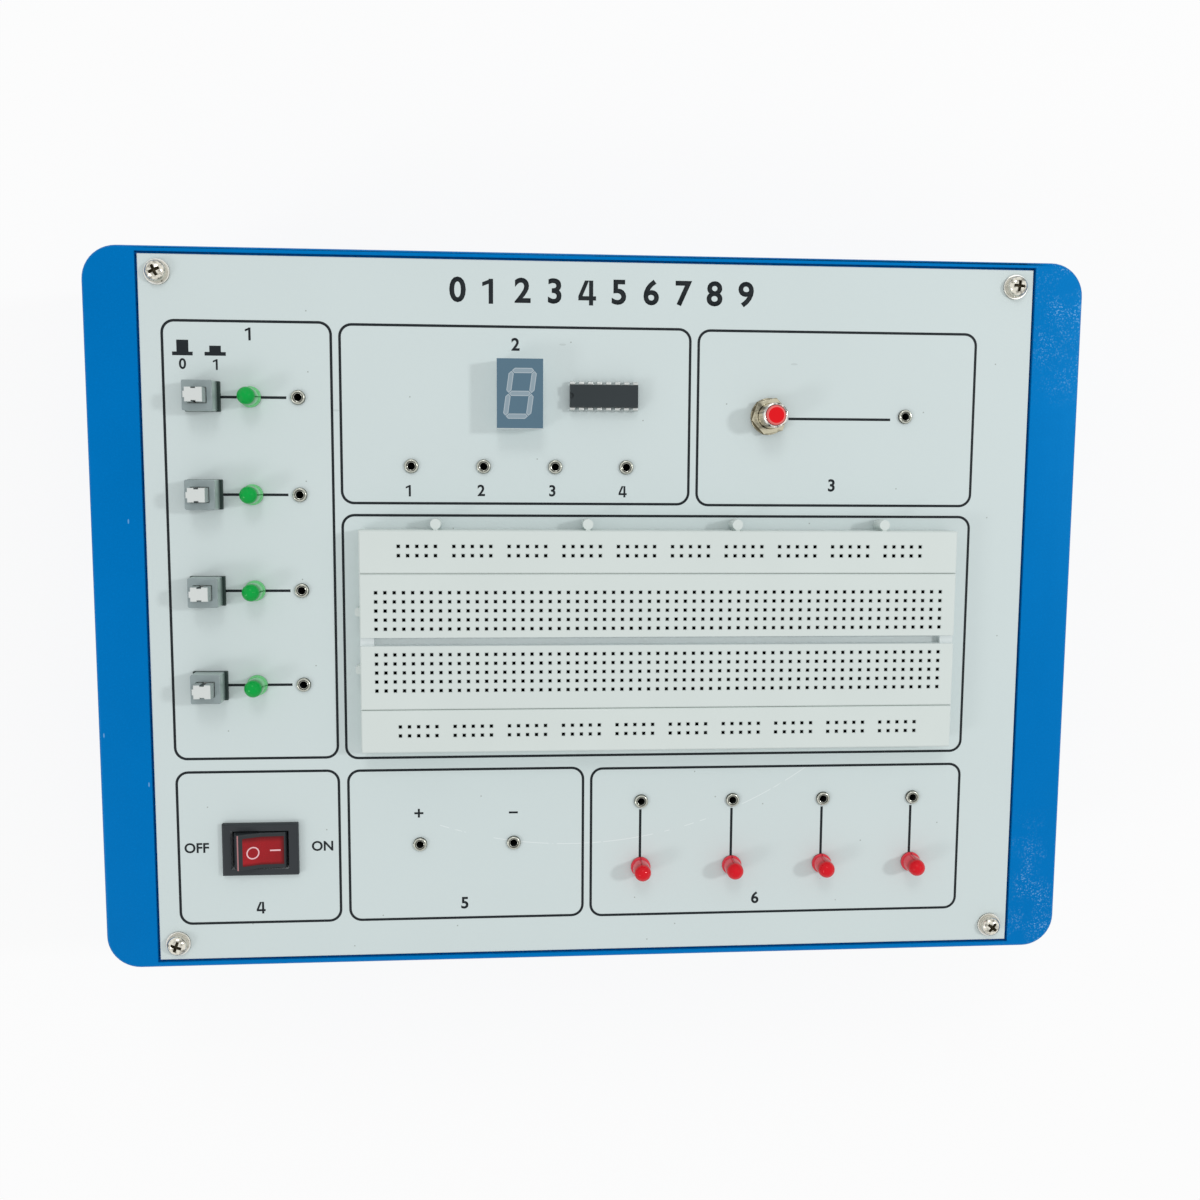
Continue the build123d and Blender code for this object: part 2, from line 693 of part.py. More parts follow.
def rocker_profile():
    """Side view of the rocker: two flats that meet in a shallow valley, round ends."""
    radius = (ROCKER_TIP_X**2 + (ROCKER_TIP_Z - PIVOT_Z) ** 2) ** 0.5
    low_x, low_z = radius * cos(radians(18)), PIVOT_Z - radius * sin(radians(18))
    right_end = ThreePointArc((ROCKER_TIP_X, ROCKER_TIP_Z), (radius, PIVOT_Z), (low_x, low_z))
    left_end = ThreePointArc((-low_x, low_z), (-radius, PIVOT_Z), (-ROCKER_TIP_X, ROCKER_TIP_Z))
    outline = Curve() + [
        Line((-ROCKER_TIP_X, ROCKER_TIP_Z), (0, ROCKER_VALLEY_Z)),
        Line((0, ROCKER_VALLEY_Z), (ROCKER_TIP_X, ROCKER_TIP_Z)),
        right_end,
        Line((low_x, low_z), (2.2, PIVOT_Z - 4.2)),
        Line((2.2, PIVOT_Z - 4.2), (-2.2, PIVOT_Z - 4.2)),
        Line((-2.2, PIVOT_Z - 4.2), (-low_x, low_z)),
        left_end,
    ]
    return make_face(outline)


def tilted(shape):
    """Turned about the pivot to the closed position, right end down."""
    return Pos(0, 0, PIVOT_Z) * Rot(0, ROCKER_TILT, 0) * Pos(0, 0, -PIVOT_Z) * shape


def lens_window():
    return block(WINDOW_LENGTH, WINDOW_WIDTH, 1.2, 6, WINDOW_SHIFT)


def power_rocker():
    body = extrude(Plane.XZ * rocker_profile(), ROCKER_WIDTH / 2, both=True)
    body += Pos(0, 0, PIVOT_Z) * Rot(90, 0, 0) * Cylinder(TRUNNION_RADIUS, WELL_WIDTH + 0.7)
    body -= lens_window()
    return at_power(tilted(body))


def rocker_lens():
    """Red window set flush into the rocker's two flats."""
    body = extrude(Plane.XZ * rocker_profile(), ROCKER_WIDTH / 2, both=True)
    return at_power(tilted(body & lens_window()))


def power_terminals():
    return group([
        block(0.8, 4.8, FACE - HOUSING_DEPTH - 7, FACE - HOUSING_DEPTH, POWER_X + x, POWER_Y)
        for x in (-6.0, 0.0, 6.0)
    ])


# Transformer -----------------------------------------------------------------------

def at_transformer(shape):
    return on_supply(shape, TRANSFORMER_X, TRANSFORMER_Y)


def transformer_core():
    core = block(CORE_WIDTH, CORE_STACK, 0, CORE_HEIGHT)
    for side in (-1, 1):
        core -= block(LEG, CORE_STACK, LEG, CORE_HEIGHT - LEG, side * 1.5 * LEG)
    return at_transformer(core)


def transformer_coil():
    """Wound bobbin round the middle leg, with its two end flanges."""
    low, high = LEG + 0.3, CORE_HEIGHT - LEG - 0.3
    inner_length, inner_width = 2 * LEG + 0.3, CORE_STACK + 0.3
    winding = block(2 * LEG + 12.6, CORE_STACK + 13, low + 1.2, high - 1.2)
    winding = chamfer(winding.edges().filter_by(Axis.Z), 3)
    coil = winding + block(2 * LEG + 13.4, CORE_STACK + 15, low, low + 1.2)
    coil += block(2 * LEG + 13.4, CORE_STACK + 15, high - 1.2, high)
    return at_transformer(coil - block(inner_length, inner_width, low, high))


# Supply board ----------------------------------------------------------------------

def on_supply(shape, x, y):
    return Pos(SUPPLY_X + x, SUPPLY_Y + y, SUPPLY_TOP) * shape


def supply_board():
    return block(SUPPLY_LENGTH, SUPPLY_WIDTH, SUPPLY_TOP - BOARD_THICKNESS, SUPPLY_TOP, SUPPLY_X, SUPPLY_Y)


def filter_capacitor():
    """Upright can."""
    return on_supply(column(6.5, 0, 25), 0, 12)


def bridge_rectifier():
    body = block(8.4, 6.4, 0.4, 3.6)
    body = chamfer(body.faces().sort_by(Axis.Z)[-1].edges(), 0.5)
    for x in (-2.54, 2.54):
        for end in (-1, 1):
            body += block(0.6, 0.9, 0, 1.6, x, end * 3.5)
    return on_supply(body, 0, -6)


def voltage_regulator():
    """Upright tab package, its tab against the heat sink."""
    shape = block(10.2, 4.4, 4.0, 13.0) + block(10.2, 1.3, 4.0, 19.4, 0, 1.55)
    for x in (-2.54, 0, 2.54):
        shape += block(0.8, 0.5, 0, 4.0, x, -0.4)
    return on_supply(shape, 30, 12)


def heat_sink():
    """Extruded fins on a plate behind the regulator."""
    sink = block(30, 2.0, 0, 26, 0, 1)
    for fin in range(6):
        sink += block(1.2, 9.0, 0, 26, (fin - 2.5) * 5.4, 6)
    return on_supply(sink, 30, 14.25)


def timer_chip():
    """Eight-pin timer that makes the clock pulses."""
    chip = drafted_chip(9.6)
    pin = chip_pin()
    for step in range(4):
        x = (step - 1.5) * HOLE_PITCH
        chip += Pos(x, 0, 0) * pin + Pos(x, 0, 0) * Rot(0, 0, 180) * pin
    return on_supply(chip, 44, -14)


def resistors():
    """Pair of resistors lying beside the timer."""
    body = Pos(0, 0, 1.3) * Rot(0, 90, 0) * Cylinder(1.2, 6.4)
    body += block(10, 0.5, 1.05, 1.55)
    body += block(0.5, 0.5, 0, 1.5, -5) + block(0.5, 0.5, 0, 1.5, 5)
    return group([on_supply(body, 26, y) for y in (-10, -16)])


def fuse_holder():
    """Base with two spring clips for the fuse."""
    body = block(24, 7, 0, 2.4)
    for side in (-1, 1):
        clip = block(4.5, 6.6, 2.4, 8.2, side * 8.5)
        body += clip - block(6, 5.2, 3.0, 9, side * 8.5)
    return on_supply(body, -38, -26)


def fuse_link():
    """Glass tube with its ends in the clips."""
    tube = Rot(0, 90, 0) * Cylinder(2.5, 20)
    return on_supply(Pos(0, 0, 5.6) * tube, -38, -26)


def terminal_block():
    """Three-way screw terminals for the transformer and the panel."""
    body = block(15.2, 8.0, 0, 10.0)
    body = chamfer(body.edges().filter_by(Axis.X).group_by(Axis.Z)[-1], 1.2)
    for x in (-5.08, 0, 5.08):
        body -= block(3.2, 3.0, 1.7, 5.1, x, -3.5)
        body -= block(3.0, 3.0, 7.5, 10.0, x, 0)
    return on_supply(body, 0, -26)


def cord_gland():
    """Cord entry in the rear wall: six-sided head outside, round neck, six-sided nut inside."""
    head = slab(RegularPolygon(GLAND_RADIUS, 6), 0, 2.4)
    neck = column(CORD_HOLE_RADIUS - 0.1, -END_WALL, 0)
    nut = slab(RegularPolygon(GLAND_RADIUS, 6), -END_WALL - 2.4, -END_WALL)
    bore = column(CORD_RADIUS, -END_WALL - 2.4, 2.4)
    return Pos(CORD_X, CASE_WIDTH / 2, CORD_Z) * Rot(-90, 0, 0) * (head + neck + nut - bore)


NODES = {
    "case_body": case_body,
    "case_rear_wall": case_rear_wall, "rubber_feet": rubber_feet, "cord_gland": cord_gland,
    "panel_board": panel_board, "panel_screws": panel_screws,
    "breadboard_backing": breadboard_backing, "terminal_strip": terminal_strip,
    "upper_bus_strip": upper_bus_strip, "lower_bus_strip": lower_bus_strip,
    "switch_bases": switch_bases, "switch_shells": switch_shells,
    "component_leads": component_leads, "green_lamps": green_lamps, "red_lamps": red_lamps,
    "jack_sockets": jack_sockets, "display_body": display_body, "display_face": display_face,
    "display_segments": display_segments, "decoder_chip": decoder_chip,
    "decoder_pins": decoder_pins, "clock_bushing": clock_bushing, "clock_nut": clock_nut,
    "clock_washer": clock_washer, "clock_button": clock_button, "clock_spring": clock_spring,
    "clock_switch_housing": clock_switch_housing, "clock_terminals": clock_terminals,
    "power_bezel": power_bezel, "power_rocker": power_rocker, "rocker_lens": rocker_lens,
    "power_terminals": power_terminals, "transformer_core": transformer_core,
    "transformer_coil": transformer_coil, "supply_board": supply_board,
    "filter_capacitor": filter_capacitor, "bridge_rectifier": bridge_rectifier,
    "voltage_regulator": voltage_regulator, "heat_sink": heat_sink, "timer_chip": timer_chip,
    "resistors": resistors, "fuse_holder": fuse_holder, "fuse_link": fuse_link,
    "terminal_block": terminal_block,
}

os.makedirs("parts", exist_ok=True)
for name, make in NODES.items():
    export_step(make(), f"parts/{name}.step")
for number, row in enumerate(INPUT_ROWS, start=1):
    export_step(switch_plunger(row), f"parts/switch_plunger_{number}.step")
    export_step(switch_spring(row), f"parts/switch_spring_{number}.step")
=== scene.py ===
"""Looks of the bench logic trainer, laid out as a Blender add-on."""

import json
import math

import bmesh
import bpy
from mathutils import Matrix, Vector

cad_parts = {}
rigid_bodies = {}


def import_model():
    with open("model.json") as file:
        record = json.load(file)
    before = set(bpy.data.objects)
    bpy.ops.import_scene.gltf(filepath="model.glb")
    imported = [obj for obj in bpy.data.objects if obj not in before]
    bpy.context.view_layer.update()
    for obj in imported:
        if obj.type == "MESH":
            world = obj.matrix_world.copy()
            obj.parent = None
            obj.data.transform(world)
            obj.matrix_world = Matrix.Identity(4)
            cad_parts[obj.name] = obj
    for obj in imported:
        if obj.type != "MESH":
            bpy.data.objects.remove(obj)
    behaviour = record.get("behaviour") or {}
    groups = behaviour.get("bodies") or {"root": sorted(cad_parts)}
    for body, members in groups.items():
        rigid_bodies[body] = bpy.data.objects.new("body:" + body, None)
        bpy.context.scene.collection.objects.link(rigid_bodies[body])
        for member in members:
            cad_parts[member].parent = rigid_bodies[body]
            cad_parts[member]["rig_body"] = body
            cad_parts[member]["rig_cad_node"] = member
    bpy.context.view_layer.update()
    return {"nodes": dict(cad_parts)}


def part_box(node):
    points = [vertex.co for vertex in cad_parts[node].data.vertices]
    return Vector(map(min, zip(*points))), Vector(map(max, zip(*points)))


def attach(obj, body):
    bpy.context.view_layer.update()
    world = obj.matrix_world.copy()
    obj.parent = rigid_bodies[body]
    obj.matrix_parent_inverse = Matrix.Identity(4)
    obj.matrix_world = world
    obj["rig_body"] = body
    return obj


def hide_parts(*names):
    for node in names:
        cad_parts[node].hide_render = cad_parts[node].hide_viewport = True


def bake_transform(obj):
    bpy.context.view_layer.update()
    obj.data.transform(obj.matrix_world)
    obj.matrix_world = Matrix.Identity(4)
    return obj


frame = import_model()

bl_info = {
    "name": "Logic trainer looks",
    "version": (1, 0, 0),
    "blender": (4, 5, 0),
    "location": "3D View > Sidebar > Trainer",
    "description": "Dresses the solids of a bench logic trainer and sets its stage",
    "category": "Object",
}

MM = 0.001
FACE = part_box("panel_board")[1].z
WHOLE_CIRCLE = 48
INPUT_ROWS = [(61.3 - 26.87 * row) * MM for row in range(4)]
OUTPUT_COLUMNS = [(13.6 + 27.13 * step) * MM for step in range(4)]
SWITCH_X = -108.85 * MM
GREEN_LAMP_X = -96.0 * MM
RED_LAMP_Y = -74.4 * MM
SOCKET_PLACES = (
    [(-83.1 * MM, y) for y in INPUT_ROWS]
    + [((-52.2 + 20.2 * step) * MM, 42.6 * MM) for step in range(4)]
    + [(89.0 * MM, 57.6 * MM), (-50.8 * MM, -66.5 * MM), (-23.7 * MM, -66.5 * MM)]
    + [(x, -54.7 * MM) for x in OUTPUT_COLUMNS]
)
SCREW_PLACES = [(x * MM, y * MM) for x in (-120.2, 120.2) for y in (-94.7, 94.7)]
CHANNEL_Y = -6.06 * MM
POWER = Vector((-96.1 * MM, -66.85 * MM, FACE))
CAPITAL_SHARE = 0.73
ROCKER_TILT = math.radians(12)
FLAT_SLOPE = 1 / 6

# Printed frames, bars and signs: left, low, right and high, in millimetres
SECTION_FRAMES = (
    (-119.4, -40.5, -73.9, 81.8),
    (-71.5, 32.2, 26.3, 81.4),
    (28.7, 32.0, 109.2, 81.2),
    (-71.5, -40.8, 109.2, 28.8),
    (-119.3, -88.9, -73.8, -44.4),
    (-71.1, -88.9, -3.5, -44.5),
    (-1.1, -89.1, 109.3, -44.8),
)
SECTION_NUMBERS = (-96.0, 78.4), (-23.0, 76.4), (68.0, 37.6), (-96.6, -84.6), (-38.0, -84.6), (48.0, -84.9)
KEY_SIGNS = (
    (-116.8, 72.4, -111.3, 73.4),
    (-115.6, 73.4, -112.4, 76.6),
    (-108.1, 72.4, -102.4, 73.4),
    (-106.8, 73.4, -103.7, 75.1),
)


def paint(red, green, blue):
    """A display colour, 0 to 255, as the linear numbers that a shader takes."""
    steps = [value / 255 for value in (red, green, blue)]
    return tuple(v / 12.92 if v <= 0.04045 else ((v + 0.055) / 1.055) ** 2.4 for v in steps)


# Sizes and colours that a user would change ------------------------------------------


def length(name, description, default):
    return bpy.props.FloatProperty(
        name=name, description=description, default=default, min=0, unit="LENGTH", precision=5
    )


def power(name, description, default):
    return bpy.props.FloatProperty(
        name=name, description=description, default=default, min=0, unit="POWER"
    )


def tint(name, description, *display):
    return bpy.props.FloatVectorProperty(
        name=name, description=description, default=paint(*display), size=3, subtype="COLOR", min=0, max=1
    )


class StageSizes(bpy.types.PropertyGroup):
    """Camera, lamps and floor."""

    lens: bpy.props.FloatProperty(
        name="Lens", description="Focal length of the camera", default=36.25, min=10, unit="CAMERA"
    )
    camera_place: bpy.props.FloatVectorProperty(
        name="Camera place", description="Where the camera stands", size=3, subtype="TRANSLATION",
        unit="LENGTH", default=(-0.02581, 0.04209, 0.416),
    )
    camera_turn: bpy.props.FloatVectorProperty(
        name="Camera turn", description="Rotation of the camera", size=3, subtype="EULER",
        default=(math.radians(-6.211), math.radians(-4.438), math.radians(0.35)),
    )
    key_power: power("Key lamp", "Power of the lamp on the right", 4.2)
    left_power: power("Left lamp", "Power of the lamp on the left", 2.4)
    back_power: power("Back lamp", "Power of the lamp behind", 2.2)
    room_light: bpy.props.FloatProperty(
        name="Room light", description="Strength of the light from all round", default=0.68, min=0
    )


class PrintSizes(bpy.types.PropertyGroup):
    """Ink on the panel."""

    line: length("Line", "Width of the printed lines", 0.00072)
    corner: length("Corner", "Radius of the frames' corners", 0.0033)
    ink: length("Ink", "Thickness of the ink", 0.00003)
    legend: length("Legend height", "Height of the small characters", 0.0029)
    title: length("Title height", "Height of the row of digits along the top", 0.0068)


class BreadboardSizes(bpy.types.PropertyGroup):
    """Holes of the breadboard."""

    pitch: length("Pitch", "Distance between holes", 0.00254)
    mouth: length("Mouth", "Side of a hole at the top", 0.0013)
    throat: length("Throat", "Side of a hole below its lead-in", 0.0009)
    lead_in: length("Lead-in", "Depth of the lead-in", 0.0002)
    depth: length("Depth", "Depth of a hole", 0.0028)
    edge: length("Edge", "Rounding of the strips' edges", 0.0002)


class FittingSizes(bpy.types.PropertyGroup):
    """Edges and fine parts of the fittings."""

    case_edge: length("Case edge", "Rounding of the case's edges", 0.0003)
    panel_edge: length("Panel edge", "Rounding of the panel's edge", 0.00025)
    switch_edge: length("Switch edge", "Rounding of the push switches", 0.00018)
    rocker_edge: length("Rocker edge", "Rounding of the rocker switch", 0.00025)
    metal_edge: length("Metal edge", "Rounding of nuts and washers", 0.00015)
    pin_edge: length("Pin edge", "Rounding of the chip's pins", 0.00006)
    mark_line: length("Mark line", "Width of the lines on the rocker", 0.00036)
    recess: length("Recess", "Depth of the cross in the screws", 0.0013)


class TrainerColours(bpy.types.PropertyGroup):
    """Colours of the trainer's finishes."""

    case: tint("Case", "Moulded case", 0, 109, 182)
    panel: tint("Panel", "Printed panel", 205, 217, 217)
    ink: tint("Ink", "Lines and characters on the panel", 20, 27, 31)
    breadboard: tint("Breadboard", "Breadboard strips", 210, 219, 216)
    green: tint("Green lamps", "Domes of the green lamps", 0, 160, 64)
    red: tint("Red lamps", "Domes of the red lamps", 212, 20, 34)
    nickel: tint("Nickel", "Plated metal", 188, 190, 180)
    smoke: tint("Switch covers", "Covers of the push switches", 142, 156, 157)
    dark: tint("Dark plastic", "Bezel, rocker and chip", 42, 47, 51)
    button: tint("Button", "Cap of the clock button", 222, 24, 32)
    window: tint("Rocker window", "Red window of the rocker", 158, 24, 32)


# Shaping ------------------------------------------------------------------------------


def select_only(*pieces):
    if bpy.context.mode != "OBJECT":
        bpy.ops.object.mode_set(mode="OBJECT")
    bpy.ops.object.select_all(action="DESELECT")
    for piece in pieces:
        piece.select_set(True)
    if pieces:
        bpy.context.view_layer.objects.active = pieces[0]


def open_mesh(piece, kind="FACE", action="DESELECT"):
    """Edit mode on one piece, with all or nothing selected."""
    select_only(piece)
    bpy.ops.object.mode_set(mode="EDIT")
    bpy.ops.mesh.select_mode(type=kind)
    bpy.ops.mesh.select_all(action=action)


def close_mesh():
    bpy.ops.object.mode_set(mode="OBJECT")


def choose(piece, parts, wanted):
    """Selects those faces, edges or verts of the open mesh for which wanted is true."""
    mesh = bmesh.from_edit_mesh(piece.data)
    for part in getattr(mesh, parts):
        part.select_set(wanted(part))
    bmesh.update_edit_mesh(piece.data)


def middle_of(edge):
    return (edge.verts[0].co + edge.verts[1].co) / 2


def drawn_out(shift):
    """Extrudes what is selected of the open mesh."""
    bpy.ops.mesh.extrude_region_move(TRANSFORM_OT_translate={"value": shift})


def outward():
    """Turns every face of the open mesh outwards."""
    bpy.ops.mesh.select_all(action="SELECT")
    bpy.ops.mesh.normals_make_consistent(inside=False)


def block(name, low, high):
    """A box between two corners, ready for shaping."""
    select_only()
    low, high = Vector(low), Vector(high)
    bpy.ops.mesh.primitive_cube_add(size=1, location=(low + high) / 2, scale=high - low)
    return named(name)


def named(name):
    """Names the new object and puts its place into its mesh."""
    piece = bpy.context.object
    piece.name = name
    piece.data.name = name
    bpy.ops.object.transform_apply(location=True, rotation=True, scale=True)
    return piece


def turned(name, place, rings, sides=WHOLE_CIRCLE):
    """A round solid: a disc drawn on through (radius, height) rings, in millimetres."""
    select_only()
    x, y, z = place
    radius, height = rings[0]
    bpy.ops.mesh.primitive_circle_add(
        vertices=sides, radius=radius * MM, fill_type="NGON", location=(x, y, z + height * MM)
    )
    piece = named(name)
    open_mesh(piece, action="SELECT")
    for next_radius, next_height in rings[1:]:
        rise = (next_height - height) * MM
        ratio = next_radius / radius
        drawn_out((0, 0, rise))
        bpy.ops.transform.resize(value=(ratio, ratio, 1), center_override=(x, y, z))
        radius, height = next_radius, next_height
    outward()
    close_mesh()
    return piece


def modify(piece, kind, **settings):
    """Adds a modifier and applies it."""
    select_only(piece)
    bpy.ops.object.modifier_add(type=kind)
    modifier = piece.modifiers[-1]
    for name, value in settings.items():
        setattr(modifier, name, value)
    bpy.ops.object.modifier_apply(modifier=modifier.name)


def carve(piece, cutter):
    """Takes the cutter's shape out of the piece and puts the cutter away."""
    modify(piece, "BOOLEAN", operation="DIFFERENCE", solver="EXACT", material_mode="TRANSFER", object=cutter)
    bpy.data.objects.remove(cutter)


def second_finish(piece, finish, wanted):
    """Gives the faces for which wanted is true a finish of their own."""
    piece.data.materials.append(finish)
    piece.active_material_index = len(piece.data.materials) - 1
    open_mesh(piece)
    choose(piece, "faces", wanted)
    bpy.ops.object.material_slot_assign()
    close_mesh()


def steep(face):
    return abs(face.normal.z) < 0.5


def reach(face, x, y):
    """How far a face's middle is from an upright axis."""
    middle = face.calc_center_median()
    return math.hypot(middle.x - x, middle.y - y)


def joined(name, pieces):
    select_only(*pieces)
    bpy.ops.object.join()
    piece = bpy.context.object
    piece.name = name
    piece.data.name = name
    return piece


def copied(piece, name, shift):
    """A copy with its own mesh, moved by a distance."""
    select_only(piece)
    bpy.ops.object.duplicate()
    bpy.context.object.location = shift
    return named(name)


def smooth(piece, angle=35):
    select_only(piece)
    bpy.ops.object.shade_smooth_by_angle(angle=math.radians(angle))


def rounded(piece, width, segments=2, angle=35):
    """Rounds every sharp edge."""
    smooth(piece, angle)
    modify(
        piece, "BEVEL", width=width, segments=segments, limit_method="ANGLE",
        angle_limit=math.radians(angle), harden_normals=True, use_clamp_overlap=True,
    )


def from_solids(name, *nodes):
    """A merged copy of solids, with flat faces whole again, that stands for them."""
    select_only(*[frame["nodes"][node] for node in nodes])
    bpy.ops.object.duplicate()
    if len(nodes) > 1:
        bpy.ops.object.join()
    piece = bpy.context.object
    piece.name = name
    piece.data.name = name
    piece.parent = None
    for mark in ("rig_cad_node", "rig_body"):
        del piece[mark]
    piece.data.materials.clear()
    open_mesh(piece, "VERT", "SELECT")
    bpy.ops.mesh.remove_doubles(threshold=0.002 * MM)
    bpy.ops.mesh.customdata_custom_splitnormals_clear()
    bpy.ops.mesh.dissolve_limited(angle_limit=math.radians(0.5))
    close_mesh()
    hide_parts(*nodes)
    return piece


def fit(piece, finish, body="trainer"):
    """Gives a piece the body it rides on and, if it has no finish yet, a finish."""
    if not piece.data.materials:
        piece.data.materials.append(finish)
    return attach(piece, body)


def shaped(name, node, width, finish, slot, body="trainer", segments=2):
    """A copy of one solid with its edges rounded, and its finish and body; the slot is not used."""
    piece = from_solids(name, node)
    rounded(piece, width, segments)
    fit(piece, finish, body)
    return piece


def row(first, places):
    """The first piece and its copies, numbered from 1, at all places of its kind."""
    stem = first.name.rstrip("1")
    pieces = [first]
    for number, place in enumerate(places[1:], 2):
        shift = (place[0] - places[0][0], place[1] - places[0][1], 0)
        pieces.append(copied(first, f"{stem}{number}", shift))
    return pieces


def coil(node, finish):
    """A spring between the trainer and the part that presses on it: a copy of its solid with a finish of its
    own.
    """
    piece = from_solids(node.replace("spring", "coil"), node)
    piece.data.materials.append(finish)
    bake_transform(piece)


def cover(finish, *nodes):
    """Gives solids that stay as they are a finish."""
    for node in nodes:
        solid = frame["nodes"][node]
        solid.data.materials.clear()
        solid.data.materials.append(finish)


# Finishes -----------------------------------------------------------------------------


class Number:
    """A number that changes over a surface. Arithmetic on it adds Math nodes."""

    def __init__(self, wiring, socket):
        self.wiring = wiring
        self.socket = socket

    def worked(self, operation, first, second):
        return self.wiring.add("ShaderNodeMath", {"operation": operation}, {0: first, 1: second})["Value"]

    def __add__(self, other):
        return self.worked("ADD", self, other)

    __radd__ = __add__

    def __sub__(self, other):
        return self.worked("SUBTRACT", self, other)

    def __mul__(self, other):
        return self.worked("MULTIPLY", self, other)

    __rmul__ = __mul__

    def __gt__(self, other):
        return self.worked("GREATER_THAN", self, other)

    def __lt__(self, other):
        return self.worked("LESS_THAN", self, other)

    def __abs__(self):
        return self.worked("ABSOLUTE", self, 0)

    def near(self, middle, within):
        """1 where the number is within a distance of the middle, and 0 elsewhere."""
        return abs(self - middle) < within


class Wiring:
    """A node tree that is filled one node at a time."""

    def __init__(self, tree):
        self.tree = tree

    def add(self, kind, settings=None, sockets=None):
        """Adds a node: first its settings, then the values or links of its sockets."""
        node = self.tree.nodes.new(kind)
        for name, value in (settings or {}).items():
            setattr(node, name, value)
        for key, value in (sockets or {}).items():
            open_sockets = [s for s in node.inputs if s.enabled and key == s.name]
            self.feed(open_sockets[0] if open_sockets else node.inputs[key], value)
        return {socket.name: Number(self, socket) for socket in node.outputs if socket.enabled}

    def feed(self, socket, value):
        if isinstance(value, Number):
            self.tree.links.new(value.socket, socket)
        elif socket.type == "RGBA":
            socket.default_value = (*value[:3], 1)
        else:
            socket.default_value = value


class Finish(Wiring):
    """A material: one surface shader and what varies over it."""

    def __init__(self, name, **surface):
        self.material = bpy.data.materials.new(name)
        self.material.use_nodes = True
        super().__init__(self.material.node_tree)
        self.shader = self.tree.nodes["Principled BSDF"]
        self.spot = self.add("ShaderNodeTexCoord")["Object"]
        for socket, value in surface.items():
            self.set(socket.replace("_", " ").title().replace("Ior", "IOR"), value)

    def set(self, socket, value):
        self.feed(self.shader.inputs[socket], value)

    def stretched(self, x, y, z):
        return self.add("ShaderNodeMapping", sockets={"Vector": self.spot, "Scale": (x, y, z)})["Vector"]

    def noise(self, size, detail=2, where=None):
        """Soft noise whose patches are about size across, in metres."""
        sockets = {"Vector": where or self.spot, "Scale": 1 / size, "Detail": detail}
        return self.add("ShaderNodeTexNoise", sockets=sockets)["Fac"]

    def specks(self, spacing, radius, where=None):
        """1 inside round specks seen from above, one to each cell, and 0 elsewhere."""
        sockets = {"Vector": where or self.spot, "Scale": 1 / spacing}
        flat = {"voronoi_dimensions": "2D"}
        return self.add("ShaderNodeTexVoronoi", flat, sockets)["Distance"] < radius / spacing

    def ramp(self, value, start, end, low=0.0, high=1.0):
        sockets = {"Value": value, "From Min": start, "From Max": end, "To Min": low, "To Max": high}
        return self.add("ShaderNodeMapRange", sockets=sockets)["Result"]

    def mix(self, factor, first, second):
        sockets = {"Factor": factor, "A": first, "B": second}
        return self.add("ShaderNodeMix", {"data_type": "RGBA"}, sockets)["Result"]

    def along(self, axis):
        """The place along X, Y or Z."""
        return self.add("ShaderNodeSeparateXYZ", sockets={"Vector": self.spot})[axis]

    def above(self, level, start, end, low=0.0, high=1.0):
        """A ramp between two heights above the panel, in millimetres."""
        return self.ramp(level, FACE + start * MM, FACE + end * MM, low, high)

    def made(self, colour, roughness, height=None, depth=0.0):
        """The material with its colour, gloss and, from a height between 0 and 1, a bump."""
        self.set("Base Color", colour)
        self.set("Roughness", roughness)
        if height is not None:
            bump = {"Height": height, "Distance": depth * MM}
            self.set("Normal", self.add("ShaderNodeBump", sockets=bump)["Normal"])
        return self.material


def shade(colour, ratio):
    """A colour made darker or lighter."""
    return tuple(min(1, channel * ratio) for channel in colour)


def plastic(name, colour, roughness=0.42, grain=0.35, depth=0.004, mottle=0.06, **surface):
    """Moulded plastic: slight clouds in the colour, fine grain and uneven gloss."""
    surface.setdefault("specular_ior_level", 0.3)
    finish = Finish(name, **surface)
    clouds = finish.noise(18 * MM, 3)
    base = finish.mix(clouds, shade(colour, 1 - mottle), shade(colour, 1 + mottle))
    gloss = roughness - 0.06 + 0.12 * finish.noise(6 * MM)
    return finish.made(base, gloss, finish.noise(grain * MM, 3), depth)


def case_plastic(colour):
    """Blue moulding with a leather grain and pale nicks; the pale specks at the right-hand corners are
    painted glints, light catching the grain.
    """
    finish = Finish("case_plastic", specular_ior_level=0.45, specular_tint=(0.0, 0.5, 1.0))
    clouds = finish.noise(25 * MM, 4)
    base = finish.mix(clouds, shade(colour, 0.93), shade(colour, 1.06))
    peaks = finish.noise(0.5 * MM, 3)
    base = finish.mix(finish.ramp(peaks, 0.5, 0.8, 0, 0.25), base, shade(colour, 1.5))
    end = finish.ramp(finish.along("X"), 124 * MM, 131 * MM)
    corner = finish.ramp(abs(finish.along("Y")), 58 * MM, 84 * MM)
    patches = finish.ramp(finish.noise(9 * MM, 3), 0.42, 0.62)
    # Painted glints: pale specks in patches, only at the right-hand corners.
    painted_glints = finish.ramp(finish.noise(0.42 * MM, 2), 0.56, 0.68) * patches * end * corner
    nicks = finish.specks(9 * MM, 0.2 * MM, finish.stretched(1, 0.3, 1)) * (finish.noise(30 * MM, 2) > 0.58)
    top = finish.above(finish.along("Z"), -6, 0)
    # The painted glints and the pale nicks, on the top faces only.
    base = finish.mix((0.6 * painted_glints + 0.4 * nicks) * top, base, paint(150, 200, 240))
    return finish.made(base, 0.34 + 0.14 * finish.noise(4 * MM), finish.noise(0.6 * MM, 3), 0.022)


